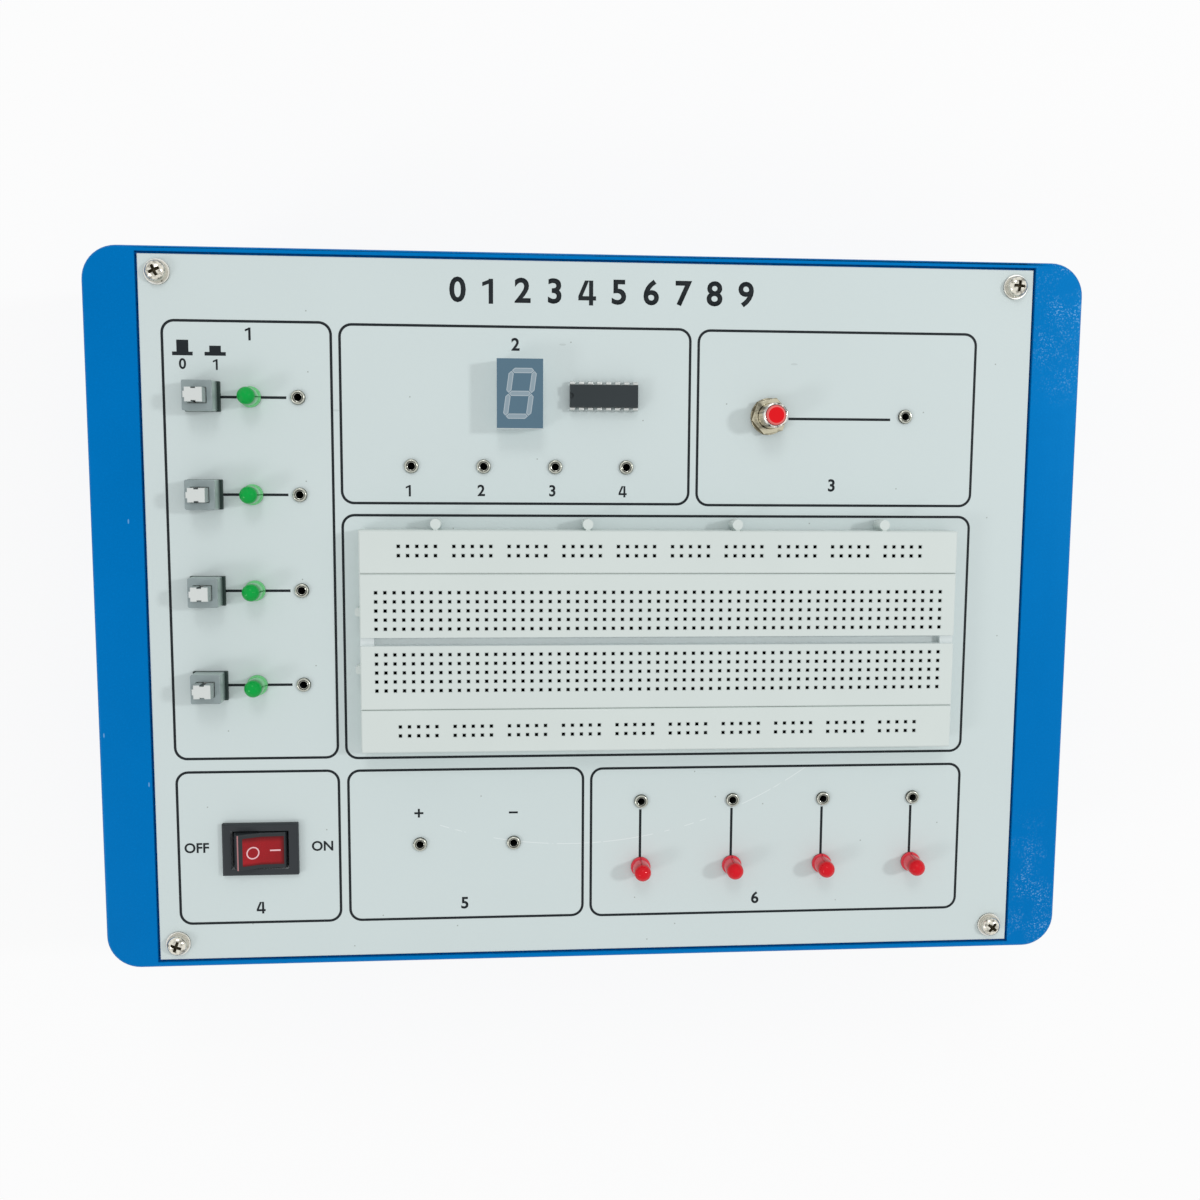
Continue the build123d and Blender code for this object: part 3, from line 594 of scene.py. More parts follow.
def panel_laminate(colour):
    """Pale coated board with faint clouds, dust specks, rubbed marks and one long scratch."""
    finish = Finish("panel_laminate", specular_ior_level=0.3)
    base = finish.mix(finish.noise(45 * MM, 3), shade(colour, 0.975), shade(colour, 1.02))
    dust = finish.specks(24 * MM, 0.2 * MM) * (finish.noise(25 * MM) > 0.5)
    rubs = finish.specks(31 * MM, 0.3 * MM, finish.stretched(0.3, 1, 1)) * (finish.noise(60 * MM) > 0.5)
    base = finish.mix(0.55 * dust, base, paint(110, 116, 104))
    base = finish.mix(0.25 * rubs, base, paint(150, 160, 158))
    arc_middle, arc_radius = (-7.0 * MM, 53.35 * MM, FACE), 120.5 * MM
    sockets = {0: finish.spot, 1: arc_middle}
    away = finish.add("ShaderNodeVectorMath", {"operation": "DISTANCE"}, sockets)["Value"]
    scratch = away.near(arc_radius, 0.11 * MM) * (finish.noise(5 * MM) > 0.45)
    scratch = scratch * (finish.along("Y") < -45 * MM) * (finish.along("X") > -45 * MM)
    base = finish.mix(0.5 * scratch, base, paint(236, 242, 242))
    return finish.made(base, 0.46 + 0.1 * finish.noise(12 * MM), finish.noise(0.8 * MM, 2), 0.004)


def screen_ink(colour):
    """Dull dark ink with faint clouds."""
    finish = Finish("screen_ink", specular_ior_level=0.2)
    base = finish.mix(finish.noise(3 * MM), shade(colour, 0.8), shade(colour, 1.25))
    return finish.made(base, 0.5 + 0.1 * finish.noise(1 * MM), finish.noise(0.3 * MM), 0.003)


def plated(name, colour, roughness=0.2, reflection_strength=0.5, streaks=(1, 4, 1), dark=0.35):
    """Plated metal with hairlines and dark patches of painted reflection, standing for dark surroundings
    seen in the metal.
    """
    finish = Finish(name, metallic=1.0)
    # Painted reflection: dark patches, stretched by streaks, that also make the metal a little rougher.
    painted_reflection = finish.ramp(finish.noise(1.1 * MM, 3, finish.stretched(*streaks)), 0.45, 0.66)
    base = finish.mix(reflection_strength * painted_reflection, colour, shade(colour, dark))
    hairlines = finish.noise(0.25 * MM, 2, finish.stretched(*streaks))
    return finish.made(base, roughness + 0.14 * painted_reflection, hairlines, 0.004)


def crevice(name, colour):
    """Painted shade for the recesses and steep sides of metal parts, in blotches."""
    finish = Finish(name, metallic=0.4, specular_ior_level=0.2)
    grime = finish.noise(0.6 * MM, 3)
    base = finish.mix(grime, shade(colour, 0.6), shade(colour, 1.5))
    return finish.made(base, 0.5 + 0.2 * grime, grime, 0.01)


def lamp_epoxy(name, dome, foot, line_axis, line_place):
    """Coloured epoxy: full colour in the dome, a paler foot with its wire showing through, and painted shade
    under the dome and at the foot's rim.
    """
    finish = Finish(name, specular_ior_level=0.5, specular_tint=tuple(0.25 + 0.75 * part for part in dome))
    level = finish.along("Z") + 0.4 * MM * finish.noise(2 * MM)
    body = finish.mix(finish.above(level, 3.4, 6.2), foot, dome)
    # Painted shade in a band round the lower part of the dome.
    dome_shade_band = finish.above(level, 4.9, 5.7) * finish.above(level, 7.1, 6.2)
    body = finish.mix(0.55 * dome_shade_band, body, shade(dome, 0.4))
    # Painted shade darkening the foot towards its rim at the panel.
    rim = finish.above(finish.along("Z"), 0.25, 0.95, 0.75, 0)
    body = finish.mix(rim, body, shade(dome, 0.35))
    wire = finish.along(line_axis).near(line_place, 0.15 * MM) * (level < FACE + 5.6 * MM)
    streak = finish.ramp(finish.noise(0.9 * MM, 2), 0.55, 0.7)
    body = finish.mix(0.7 * wire, body, shade(dome, 0.25))
    body = finish.mix(0.15 * streak, body, shade(dome, 0.7))
    return finish.made(body, 0.04 + 0.04 * finish.noise(1 * MM))


def hole_shadow():
    """The dark inside of a breadboard hole, with a hint of its spring contact."""
    finish = Finish("hole_shadow", specular_ior_level=0.1)
    contact = finish.ramp(finish.noise(0.5 * MM), 0.6, 0.8)
    base = finish.mix(contact, paint(10, 16, 15), paint(50, 54, 52))
    return finish.made(base, 0.6 + 0.2 * contact)


def cover_smoke(name, low_tint, high_tint):
    """Grey see-through cover: one tint near the panel and another towards the top."""
    finish = Finish(name, specular_ior_level=0.4, coat_weight=0.2, coat_roughness=0.1)
    clouds = finish.noise(2.2 * MM, 3)
    body = finish.mix(finish.above(finish.along("Z"), 1.4, 4.6), low_tint, high_tint)
    body = finish.mix(finish.ramp(clouds, 0.3, 0.7, 0, 0.25), body, shade(high_tint, 0.7))
    return finish.made(body, 0.28 + 0.1 * clouds, finish.noise(0.4 * MM), 0.003)


def rocker_window(colour, low, high):
    """Red window with painted shade towards its edges and towards its lowered right-hand end, and a fine
    pattern under its face.
    """
    finish = Finish("rocker_window", specular_ior_level=0.4, specular_tint=(1.0, 0.5, 0.5))
    clouds = finish.noise(4 * MM, 2)
    base = finish.mix(clouds, shade(colour, 0.75), shade(colour, 1.15))
    weave = finish.specks(0.45 * MM, 0.14 * MM)
    base = finish.mix(0.2 * weave, base, shade(colour, 1.6))
    across, up = finish.along("X"), finish.along("Y")
    # Painted shade that grows towards the lowered right-hand end.
    base = finish.mix(finish.ramp(across, low.x, high.x, 0, 0.5), base, shade(colour, 0.6))
    # Painted shade round the edges, where the walls under the window lie in shadow.
    inside = finish.ramp(across, low.x, low.x + 0.5 * MM) * finish.ramp(across, high.x, high.x - 1.3 * MM)
    inside = inside * finish.ramp(up, low.y, low.y + 0.9 * MM) * finish.ramp(up, high.y, high.y - 1.6 * MM)
    base = finish.mix(inside, shade(colour, 0.22), base)
    return finish.made(base, 0.22 + 0.1 * clouds, weave, 0.004)


def laid(name, first, second, spacing, roughness, metallic=0.0):
    """Stacked sheets or wound layers: bands of two colours up the piece."""
    finish = Finish(name, metallic=metallic)
    place = finish.stretched(0.04, 0.04, 1)
    bands = finish.ramp(finish.noise(spacing * MM, 1, place), 0.4, 0.6)
    return finish.made(finish.mix(bands, first, second), roughness + 0.1 * bands, bands, 0.05)


# Operators ----------------------------------------------------------------------------


class TRAINER_OT_case(bpy.types.Operator):
    """Make the case, its feet and the cord bushing"""

    bl_idname = "trainer.case"
    bl_label = "Case"

    def execute(self, context):
        sizes = context.scene.trainer_fittings
        colours = context.scene.trainer_colours
        shell = from_solids("case_shell", "case_body", "case_rear_wall")
        rounded(shell, sizes.case_edge)
        fit(shell, case_plastic(colours.case))
        rubber = plastic("foot_rubber", paint(42, 42, 43), 0.8, 0.5, 0.03, 0.12)
        shaped("foot_pads", "rubber_feet", sizes.case_edge * 2, rubber, "foot_rubber")
        nylon = plastic("bush_nylon", paint(30, 31, 33), 0.5, 0.3, 0.01, 0.1)
        shaped("cord_bush", "cord_gland", sizes.case_edge, nylon, "gland_black")
        return {"FINISHED"}


class TRAINER_OT_panel(bpy.types.Operator):
    """Make the panel with softened edges"""

    bl_idname = "trainer.panel"
    bl_label = "Panel"

    def execute(self, context):
        sizes = context.scene.trainer_fittings
        board = from_solids("printed_panel", "panel_board")
        low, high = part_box("panel_board")
        open_mesh(board, "EDGE")

        def on_top_edge(edge):
            middle = middle_of(edge)
            at_side = min(abs(middle.x - low.x), abs(middle.x - high.x)) < 0.01 * MM
            at_end = min(abs(middle.y - low.y), abs(middle.y - high.y)) < 0.01 * MM
            return high.z - middle.z < 0.01 * MM and (at_side or at_end)

        choose(board, "edges", on_top_edge)
        bpy.ops.mesh.bevel(offset=sizes.panel_edge, segments=2)
        close_mesh()
        fit(board, panel_laminate(context.scene.trainer_colours.panel))
        return {"FINISHED"}


class TRAINER_OT_print(bpy.types.Operator):
    """Print the frames, connecting lines, switch signs and plain characters on the panel"""

    bl_idname = "trainer.print"
    bl_label = "Panel print"

    def bar(self, x0, y0, x1, y1):
        select_only()
        bpy.ops.mesh.primitive_plane_add(size=1, location=((x0 + x1) / 2 * MM, (y0 + y1) / 2 * MM, FACE))
        bpy.context.object.scale = ((x1 - x0) * MM, (y1 - y0) * MM, 1)
        self.parts.append(named("bar"))

    def frame(self, x0, y0, x1, y1):
        """A rectangle of line with rounded corners, given by the line's middle."""
        half = self.sizes.line / 2 / MM
        self.bar(x0 - half, y0 - half, x1 + half, y1 + half)
        piece = self.parts[-1]
        open_mesh(piece, "VERT", "SELECT")
        corner = self.sizes.corner + self.sizes.line / 2
        bpy.ops.mesh.bevel(offset=corner, segments=8, affect="VERTICES")
        bpy.ops.mesh.select_mode(type="FACE")
        bpy.ops.mesh.select_all(action="SELECT")
        bpy.ops.mesh.inset(thickness=self.sizes.line)
        bpy.ops.mesh.delete(type="FACE")
        close_mesh()

    def sign(self, text, x, y, height, weight=0.0):
        """Plain characters centred on a point."""
        figures = {"1": self.one, "4": self.four}
        if text in figures:
            return figures[text](x, y, height / MM)
        select_only()
        bpy.ops.object.text_add(location=(x * MM, y * MM, FACE))
        words = bpy.context.object
        words.data.body = text
        words.data.size = height / CAPITAL_SHARE
        words.data.offset = weight * MM
        words.data.align_x = "CENTER"
        words.data.align_y = "CENTER"
        words.data.resolution_u = 4
        bpy.ops.object.convert(target="MESH")
        self.parts.append(named("sign"))

    def lean(self, chosen, x, y):
        """Moves the chosen corners of the last bar."""
        piece = self.parts[-1]
        open_mesh(piece, "VERT")
        choose(piece, "verts", chosen)
        bpy.ops.transform.translate(value=(x * MM, y * MM, 0))
        close_mesh()

    def one(self, x, y, height):
        """The figure one: an upright with its flag."""
        stroke, top = 0.18 * height, y + height / 2
        left = x + 0.12 * height - stroke
        self.bar(left, top - height, left + stroke, top)
        self.bar(left - 0.26 * height, top - 0.2 * height, left, top - 0.04 * height)
        self.lean(lambda vert: vert.co.x < (left - stroke / 2) * MM, 0, -0.1 * height)

    def four(self, x, y, height):
        """The figure four: an upright, a slanting stroke and a crossbar that the upright parts."""
        stroke, low, top = 0.17 * height, y - height / 2, y + height / 2
        left, right, cross = x - 0.36 * height, x + 0.08 * height, low + 0.2 * height
        self.bar(right, low, right + stroke, top)
        self.bar(left, cross, right, cross + stroke)
        self.bar(right + stroke, cross, right + stroke + 0.12 * height, cross + stroke)
        self.bar(left, cross + stroke, left + stroke, top)
        self.lean(lambda vert: vert.co.y > y * MM, right - stroke - left, 0)

    def execute(self, context):
        self.sizes = context.scene.trainer_print
        self.parts = []
        for section in SECTION_FRAMES:
            self.frame(*section)
        half = self.sizes.line / 2 / MM
        for y in (61.2, 34.4, 7.5, -19.3):
            self.bar(-104.9, y - half, -86.3, y + half)
        self.bar(54.9, 56.7 - half, 84.7, 56.7 + half)
        for x in (13.4, 40.5, 67.6, 94.6):
            self.bar(x - half, -72.4, x + half, -57.2)
        for sign in KEY_SIGNS:
            self.bar(*sign)
        legend = self.sizes.legend
        self.sign("0", -114.1, 70.0, legend, 0.09)
        self.sign("1", -105.0, 70.0, legend)
        for number, x in enumerate((-52.8, -32.7, -12.6, 7.4)):
            self.sign(str(number + 1), x, 35.7, legend * 1.1, 0.1)
        self.sign("OFF", -114.3, -66.7, legend, 0.09)
        self.sign("ON", -78.7, -66.7, legend, 0.09)
        self.sign("+", -51.1, -57.6, legend * 1.3, 0.08)
        self.sign("−", -23.8, -57.8, legend * 1.3, 0.08)
        for number, (x, y) in enumerate(SECTION_NUMBERS, 1):
            self.sign(str(number), x, y, legend * 1.2, 0.12)
        for number in range(10):
            self.sign(str(number), 1.5 + 9 * (number - 4.5), 91.0, self.sizes.title, 0.22)
        ink = joined("panel_print", self.parts)
        open_mesh(ink, action="SELECT")
        drawn_out((0, 0, self.sizes.ink))
        outward()
        close_mesh()
        fit(ink, screen_ink(context.scene.trainer_colours.ink))
        return {"FINISHED"}


class TRAINER_OT_breadboard(bpy.types.Operator):
    """Make the breadboard's strips with all their holes"""

    bl_idname = "trainer.breadboard"
    bl_label = "Breadboard"

    def drill(self, x, y, top):
        """One tapered hole's worth of cutter, with its dark inside."""
        sizes = self.sizes
        select_only()
        bpy.ops.mesh.primitive_plane_add(size=sizes.throat, location=(x, y, top - sizes.depth))
        cutter = named("drill")
        cutter.data.materials.append(self.white)
        cutter.data.materials.append(self.dark)
        open_mesh(cutter, action="SELECT")
        rise = sizes.depth - sizes.lead_in
        drawn_out((0, 0, rise))
        cutter.active_material_index = 1
        bpy.ops.mesh.select_all(action="SELECT")
        bpy.ops.object.material_slot_assign()
        choose(cutter, "faces", lambda face: face.calc_center_median().z > top - sizes.lead_in * 1.01)
        spread = sizes.mouth / sizes.throat
        drawn_out((0, 0, sizes.lead_in))
        bpy.ops.transform.resize(value=(spread, spread, 1), center_override=(x, y, top))
        drawn_out((0, 0, sizes.lead_in))
        choose(cutter, "faces", lambda face: face.calc_center_median().z > top - sizes.lead_in * 0.99)
        cutter.active_material_index = 0
        bpy.ops.object.material_slot_assign()
        outward()
        close_mesh()
        return cutter

    def in_channel(self, face, top):
        middle, half_width = face.calc_center_median(), 1.3 * MM
        return middle.z < top - self.sizes.edge and abs(middle.y - CHANNEL_Y) < half_width

    def repeat(self, cutter, count, x=0.0, y=0.0):
        modify(
            cutter, "ARRAY", count=count, use_relative_offset=False,
            use_constant_offset=True, constant_offset_displace=(x, y, 0),
        )

    def execute(self, context):
        self.sizes = context.scene.trainer_breadboard
        pitch = self.sizes.pitch
        self.white = plastic(
            "breadboard_plastic", context.scene.trainer_colours.breadboard, 0.42, 0.5, 0.004, 0.025
        )
        self.dark = hole_shadow()
        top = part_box("terminal_strip")[1].z
        middle_x = 18.27 * MM
        columns, rows = 64, 5
        groups, group_holes, group_step = 10, 5, 6
        group_reach = (group_step * (groups - 1) + group_holes - 1) / 2
        strips = {}
        for name, node in (
            ("tie_point_strip", "terminal_strip"),
            ("upper_rail_strip", "upper_bus_strip"),
            ("lower_rail_strip", "lower_bus_strip"),
        ):
            strips[name] = shaped(name, node, self.sizes.edge, self.white, "breadboard_white")
        # Painted light: the channel's faces are a little paler than the strip, against the shade in the
        # channel.
        channel_painted_light = plastic("channel_plastic", paint(216, 224, 224), 0.5, 0.5, 0.004, 0.04)
        second_finish(strips["tie_point_strip"], channel_painted_light, lambda face: self.in_channel(face, top))
        for first_row in (-2.45 * MM, -19.83 * MM):
            cutter = self.drill(middle_x - (columns - 1) / 2 * pitch, first_row, top)
            self.repeat(cutter, columns, x=pitch)
            self.repeat(cutter, rows, y=pitch)
            carve(strips["tie_point_strip"], cutter)
        for name, first_row in (("upper_rail_strip", 18.0), ("lower_rail_strip", -32.65)):
            cutter = self.drill(middle_x - group_reach * pitch, first_row * MM, top)
            self.repeat(cutter, group_holes, x=pitch)
            self.repeat(cutter, groups, x=group_step * pitch)
            self.repeat(cutter, 2, y=2.57 * MM)
            carve(strips[name], cutter)
        cover(plastic("backing_foam", paint(205, 208, 200), 0.8, 0.3, 0.05, 0.05), "breadboard_backing")
        return {"FINISHED"}


class TRAINER_OT_switches(bpy.types.Operator):
    """Make the four push switches"""

    bl_idname = "trainer.switches"
    bl_label = "Push switches"

    def in_notch(self, face, y):
        middle = face.calc_center_median()
        half_width, near, far = 0.66 * MM, 1.5 * MM, 1.93 * MM
        within = abs(middle.x - SWITCH_X) < half_width and near < abs(middle.y - y) < far
        return within and steep(face)

    def execute(self, context):
        sizes = context.scene.trainer_fittings
        colours = context.scene.trainer_colours
        edge = sizes.switch_edge
        dark = plastic("switch_dark", paint(35, 52, 48), 0.5, 0.3, 0.006)
        shaped("switch_feet", "switch_bases", edge, dark, "switch_dark")
        smoke = cover_smoke("switch_smoke", shade(colours.smoke, 0.8), colours.smoke)
        covers = shaped("switch_covers", "switch_shells", edge, smoke, "switch_smoke")
        # Painted shade on the covers' steep sides near the panel, and painted light on them towards the top.
        sides = cover_smoke("switch_smoke_sides", paint(84, 100, 98), paint(158, 175, 170))
        second_finish(covers, sides, steep)
        white = plastic("stem_plastic", paint(210, 215, 213), 0.4, 0.3, 0.004, 0.03)
        # Painted shade on the stems' steep sides, and darker painted shade in their notches.
        side_shade = plastic("stem_side", paint(158, 169, 168), 0.45, 0.3, 0.004, 0.03)
        notch = plastic("notch_shade", paint(84, 92, 92), 0.5, 0.3, 0.004)
        for number, y in enumerate(INPUT_ROWS, 1):
            names = f"switch_stem_{number}", f"switch_plunger_{number}"
            stem = shaped(*names, edge, white, "plunger_white", f"plunger_{number}")
            second_finish(stem, side_shade, steep)
            second_finish(stem, notch, lambda face: self.in_notch(face, y))
        steel = plated("spring_wire", paint(170, 172, 172), 0.3)
        for number in range(1, 5):
            coil(f"switch_spring_{number}", steel)
        coil("clock_spring", steel)
        return {"FINISHED"}


class TRAINER_OT_lamps(bpy.types.Operator):
    """Make the green and red lamps"""

    bl_idname = "trainer.lamps"
    bl_label = "Lamps"

    def lamp(self, name, x, y):
        """A flanged lamp: rim, straight body and round dome."""
        radius, shoulder, steps = 2.46, 6.1, 12
        rings = [(2.85, 0.0), (2.9, 0.08), (2.9, 0.9), (2.82, 1.0), (2.5, 1.0), (radius, shoulder)]
        for step in range(1, steps):
            angle = math.radians(90 * step / steps)
            rings.append((radius * math.cos(angle), shoulder + radius * math.sin(angle)))
        rings.append((0.1, 8.57))
        piece = turned(name, (x, y, FACE), rings)
        smooth(piece, 40)
        return piece

    def execute(self, context):
        colours = context.scene.trainer_colours
        green_places = [(GREEN_LAMP_X, y) for y in INPUT_ROWS]
        red_places = [(x, RED_LAMP_Y) for x in OUTPUT_COLUMNS]
        for name, places, dome, foot, axis in (
            ("green", green_places, colours.green, paint(125, 205, 142), "Y"),
            ("red", red_places, colours.red, paint(222, 72, 84), "X"),
        ):
            first = self.lamp(f"{name}_lamp_1", *places[0])
            for piece, place in zip(row(first, places), places):
                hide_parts(f"{name}_lamps")
                wire_place = place["XY".index(axis)]
                epoxy = lamp_epoxy(piece.name + "_epoxy", dome, foot, axis, wire_place)
                fit(piece, epoxy)
        cover(plated("tinned_wire", paint(190, 192, 190), 0.3), "component_leads")
        return {"FINISHED"}


class TRAINER_OT_sockets(bpy.types.Operator):
    """Make the jack sockets"""

    bl_idname = "trainer.sockets"
    bl_label = "Jack sockets"

    def execute(self, context):
        rings = [
            (1.55, -9.0), (1.6, -8.9), (1.6, 0.0), (2.0, 0.0), (2.0, 0.45), (1.93, 0.68), (1.78, 0.84),
            (1.58, 0.9), (1.45, 0.86), (1.36, 0.7), (1.34, 0.45), (1.3, 0.45), (1.28, 0.62), (1.2, 0.7),
            (1.1, 0.66), (1.05, 0.5), (1.05, -8.2),
        ]
        metal = plated("socket_nickel", context.scene.trainer_colours.nickel, 0.2)
        x, y = SOCKET_PLACES[0]
        first = turned("jack_eyelet_1", (x, y, FACE), rings)
        smooth(first, 40)
        first.data.materials.append(metal)
        # Painted shade: near black in the bore, dark on the groove and the outer wall.
        bore_shade, groove_shade = crevice("socket_bore", paint(36, 40, 40)), crevice("socket_shade", paint(66, 66, 60))

        def in_groove(face):
            away = reach(face, x, y)
            return away > 1.88 * MM or 1.27 * MM < away < 1.38 * MM

        second_finish(first, groove_shade, in_groove)
        second_finish(first, bore_shade, lambda face: reach(face, x, y) < 1.09 * MM)
        for piece in row(first, SOCKET_PLACES):
            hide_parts("jack_sockets")
            fit(piece, metal)
        return {"FINISHED"}


class TRAINER_OT_screws(bpy.types.Operator):
    """Make the corner screws with their split and plain washers"""

    bl_idname = "trainer.screws"
    bl_label = "Corner screws"

    def head(self, x, y, recess):
        rings = [
            (1.0, -13.0), (1.25, -12.7), (1.25, 1.25), (2.8, 1.25), (2.9, 1.35), (2.88, 1.6), (2.74, 2.1),
            (2.46, 2.5), (2.0, 2.84), (1.3, 3.12), (0.4, 3.26),
        ]
        piece = turned("screw_head", (x, y, FACE), rings)
        piece.data.materials.append(self.metal)
        second_finish(piece, self.shade, lambda face: steep(face) and reach(face, x, y) > 2.5 * MM)
        top = FACE + 3.6 * MM
        for half_x, half_y in ((1.95 * MM, 0.5 * MM), (0.5 * MM, 1.95 * MM)):
            low = x - half_x, y - half_y, top - recess
            cutter = block("cross", low, (x + half_x, y + half_y, top))
            cutter.data.materials.append(self.grime)
            open_mesh(cutter)
            choose(cutter, "faces", lambda face: face.normal.z < -0.5)
            bpy.ops.transform.resize(value=(0.5, 0.5, 1), center_override=(x, y, top))
            close_mesh()
            carve(piece, cutter)
        smooth(piece, 30)
        return piece

    def split_washer(self, x, y):
        """Square wire bent to a ring with a slanting gap."""
        ring = turned("split_washer", (x, y, FACE), [
            (3.0, 0.5), (3.05, 0.56), (3.05, 1.2), (3.0, 1.26), (1.7, 1.26), (1.7, 0.52),
        ])
        ring.data.materials.append(self.shade)
        low = x + 1.2 * MM, y - 0.22 * MM, FACE + 0.3 * MM
        gap = block("gap", low, (x + 4 * MM, y + 0.22 * MM, FACE + 1.5 * MM))
        open_mesh(gap)
        choose(gap, "faces", lambda face: face.normal.z > 0.5)
        bpy.ops.transform.translate(value=(0, 0.5 * MM, 0))
        close_mesh()
        carve(ring, gap)
        smooth(ring, 30)
        return ring

    def execute(self, context):
        sizes = context.scene.trainer_fittings
        # Painted reflection: bright heads with strong dark patches.
        self.metal = plated("screw_nickel", paint(224, 221, 208), 0.14, 0.85, (1.1, 1.4, 1), 0.16)
        # Painted shade in the cross recess, and on the heads' steep sides and the split washers.
        self.grime = crevice("screw_grime", paint(74, 67, 50))
        self.shade = crevice("screw_shade", paint(202, 198, 186))
        x, y = SCREW_PLACES[0]
        plain = turned("plain_washer", (x, y, FACE), [
            (3.45, 0.0), (3.5, 0.05), (3.5, 0.42), (3.42, 0.5), (1.75, 0.5), (1.7, 0.4),
        ])
        smooth(plain, 30)
        plain.data.materials.append(plated("washer_nickel", paint(228, 228, 222), 0.3, 0.3))
        # Painted shade on the plain washer's edge.
        second_finish(plain, crevice("washer_edge", paint(120, 116, 102)), steep)
        head = self.head(x, y, sizes.recess + 0.3 * MM)
        first = joined("corner_screw_1", [head, self.split_washer(x, y), plain])
        turns = 20, 65, 38, 5
        for piece, angle, place in zip(row(first, SCREW_PLACES), turns, SCREW_PLACES):
            open_mesh(piece, action="SELECT")
            bpy.ops.transform.rotate(
                value=math.radians(angle), orient_axis="Z", center_override=(place[0], place[1], FACE)
            )
            close_mesh()
            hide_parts("panel_screws")
            fit(piece, self.metal)
        return {"FINISHED"}


class TRAINER_OT_decoder(bpy.types.Operator):
    """Make the digit display and the decoder chip"""

    bl_idname = "trainer.decoder"
    bl_label = "Display and chip"

    def in_point(self, face, low):
        middle = face.calc_center_median()
        return middle.x - low.x > 10.3 * MM and middle.y - low.y < 4 * MM

    def execute(self, context):
        sizes = context.scene.trainer_fittings
        grey = plastic("display_grey", paint(226, 232, 234), 0.4, 0.4, 0.004, 0.05)
        shaped("display_case", "display_body", sizes.switch_edge, grey, "display_grey")
        front = plastic("display_front", paint(86, 114, 131), 0.4, 0.4, 0.003, 0.04, specular_ior_level=0.15)
        cover(front, "display_face")
        bars = from_solids("display_bars", "display_segments")
        open_mesh(bars)
        choose(bars, "faces", lambda face: face.normal.z > 0.5)
        bpy.ops.mesh.inset(thickness=0.2 * MM)
        close_mesh()
        fit(bars, plastic("bar_rim", paint(170, 183, 190), 0.35, 0.3, 0.003, 0.04))
        inner = plastic("bar_inside", paint(138, 156, 167), 0.35, 0.3, 0.003, 0.06)
        second_finish(bars, inner, lambda face: face.normal.z > 0.5 and face.calc_area() > 3 * MM * MM)
        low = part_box("display_face")[0]
        second_finish(bars, front, lambda face: self.in_point(face, low))
        epoxy = plastic("chip_epoxy", paint(37, 45, 48), 0.55, 0.12, 0.012, 0.1)
        shaped("chip_body", "decoder_chip", 2 * sizes.pin_edge, epoxy, "chip_black")
        tin = plated("pin_tin", paint(200, 204, 202), 0.28, 0.3)
        shaped("chip_pins", "decoder_pins", sizes.pin_edge, tin, "tinned_wire")
        return {"FINISHED"}


class TRAINER_OT_clock(bpy.types.Operator):
    """Make the clock button with its sleeve, nut and washer"""

    bl_idname = "trainer.clock"
    bl_label = "Clock button"

    def execute(self, context):
        sizes = context.scene.trainer_fittings
        colours = context.scene.trainer_colours
        # Painted reflection: dark patches on the nut and washer; painted shade on their steep faces.
        warm = plated("warm_nickel", paint(196, 191, 168), 0.2, 0.9, (0.45, 0.6, 0.45), 0.22)
        shadow = crevice("nut_shade", paint(104, 92, 66))
        edge = sizes.metal_edge
        for name, node, width in (("nut", "clock_nut", edge * 1.6), ("washer", "clock_washer", edge)):
            ring = shaped(f"button_{name}", node, width, warm, "bushing_chrome")
            second_finish(ring, shadow, steep)
        # Painted reflection: upright dark streaks on the bright sleeve.
        chrome = plated("bright_chrome", paint(238, 234, 226), 0.12, 1.0, (0.9, 0.9, 0.04), 0.08)
        shaped("button_sleeve", "clock_bushing", edge, chrome, "bushing_chrome")
        red = plastic("button_red", colours.button, 0.4, 0.3, 0.004, 0.05, specular_tint=(1.0, 0.2, 0.2))
        cap = shaped("button_cap", "clock_button", edge, red, "button_red", "clock_push", segments=3)
        # Painted highlight: a salmon rim on the cap's rounded edge.
        rim = plastic("button_rim", paint(232, 112, 108), 0.4, 0.3, 0.004, 0.05)
        second_finish(cap, rim, lambda face: 0.2 < face.normal.z < 0.95)
        return {"FINISHED"}


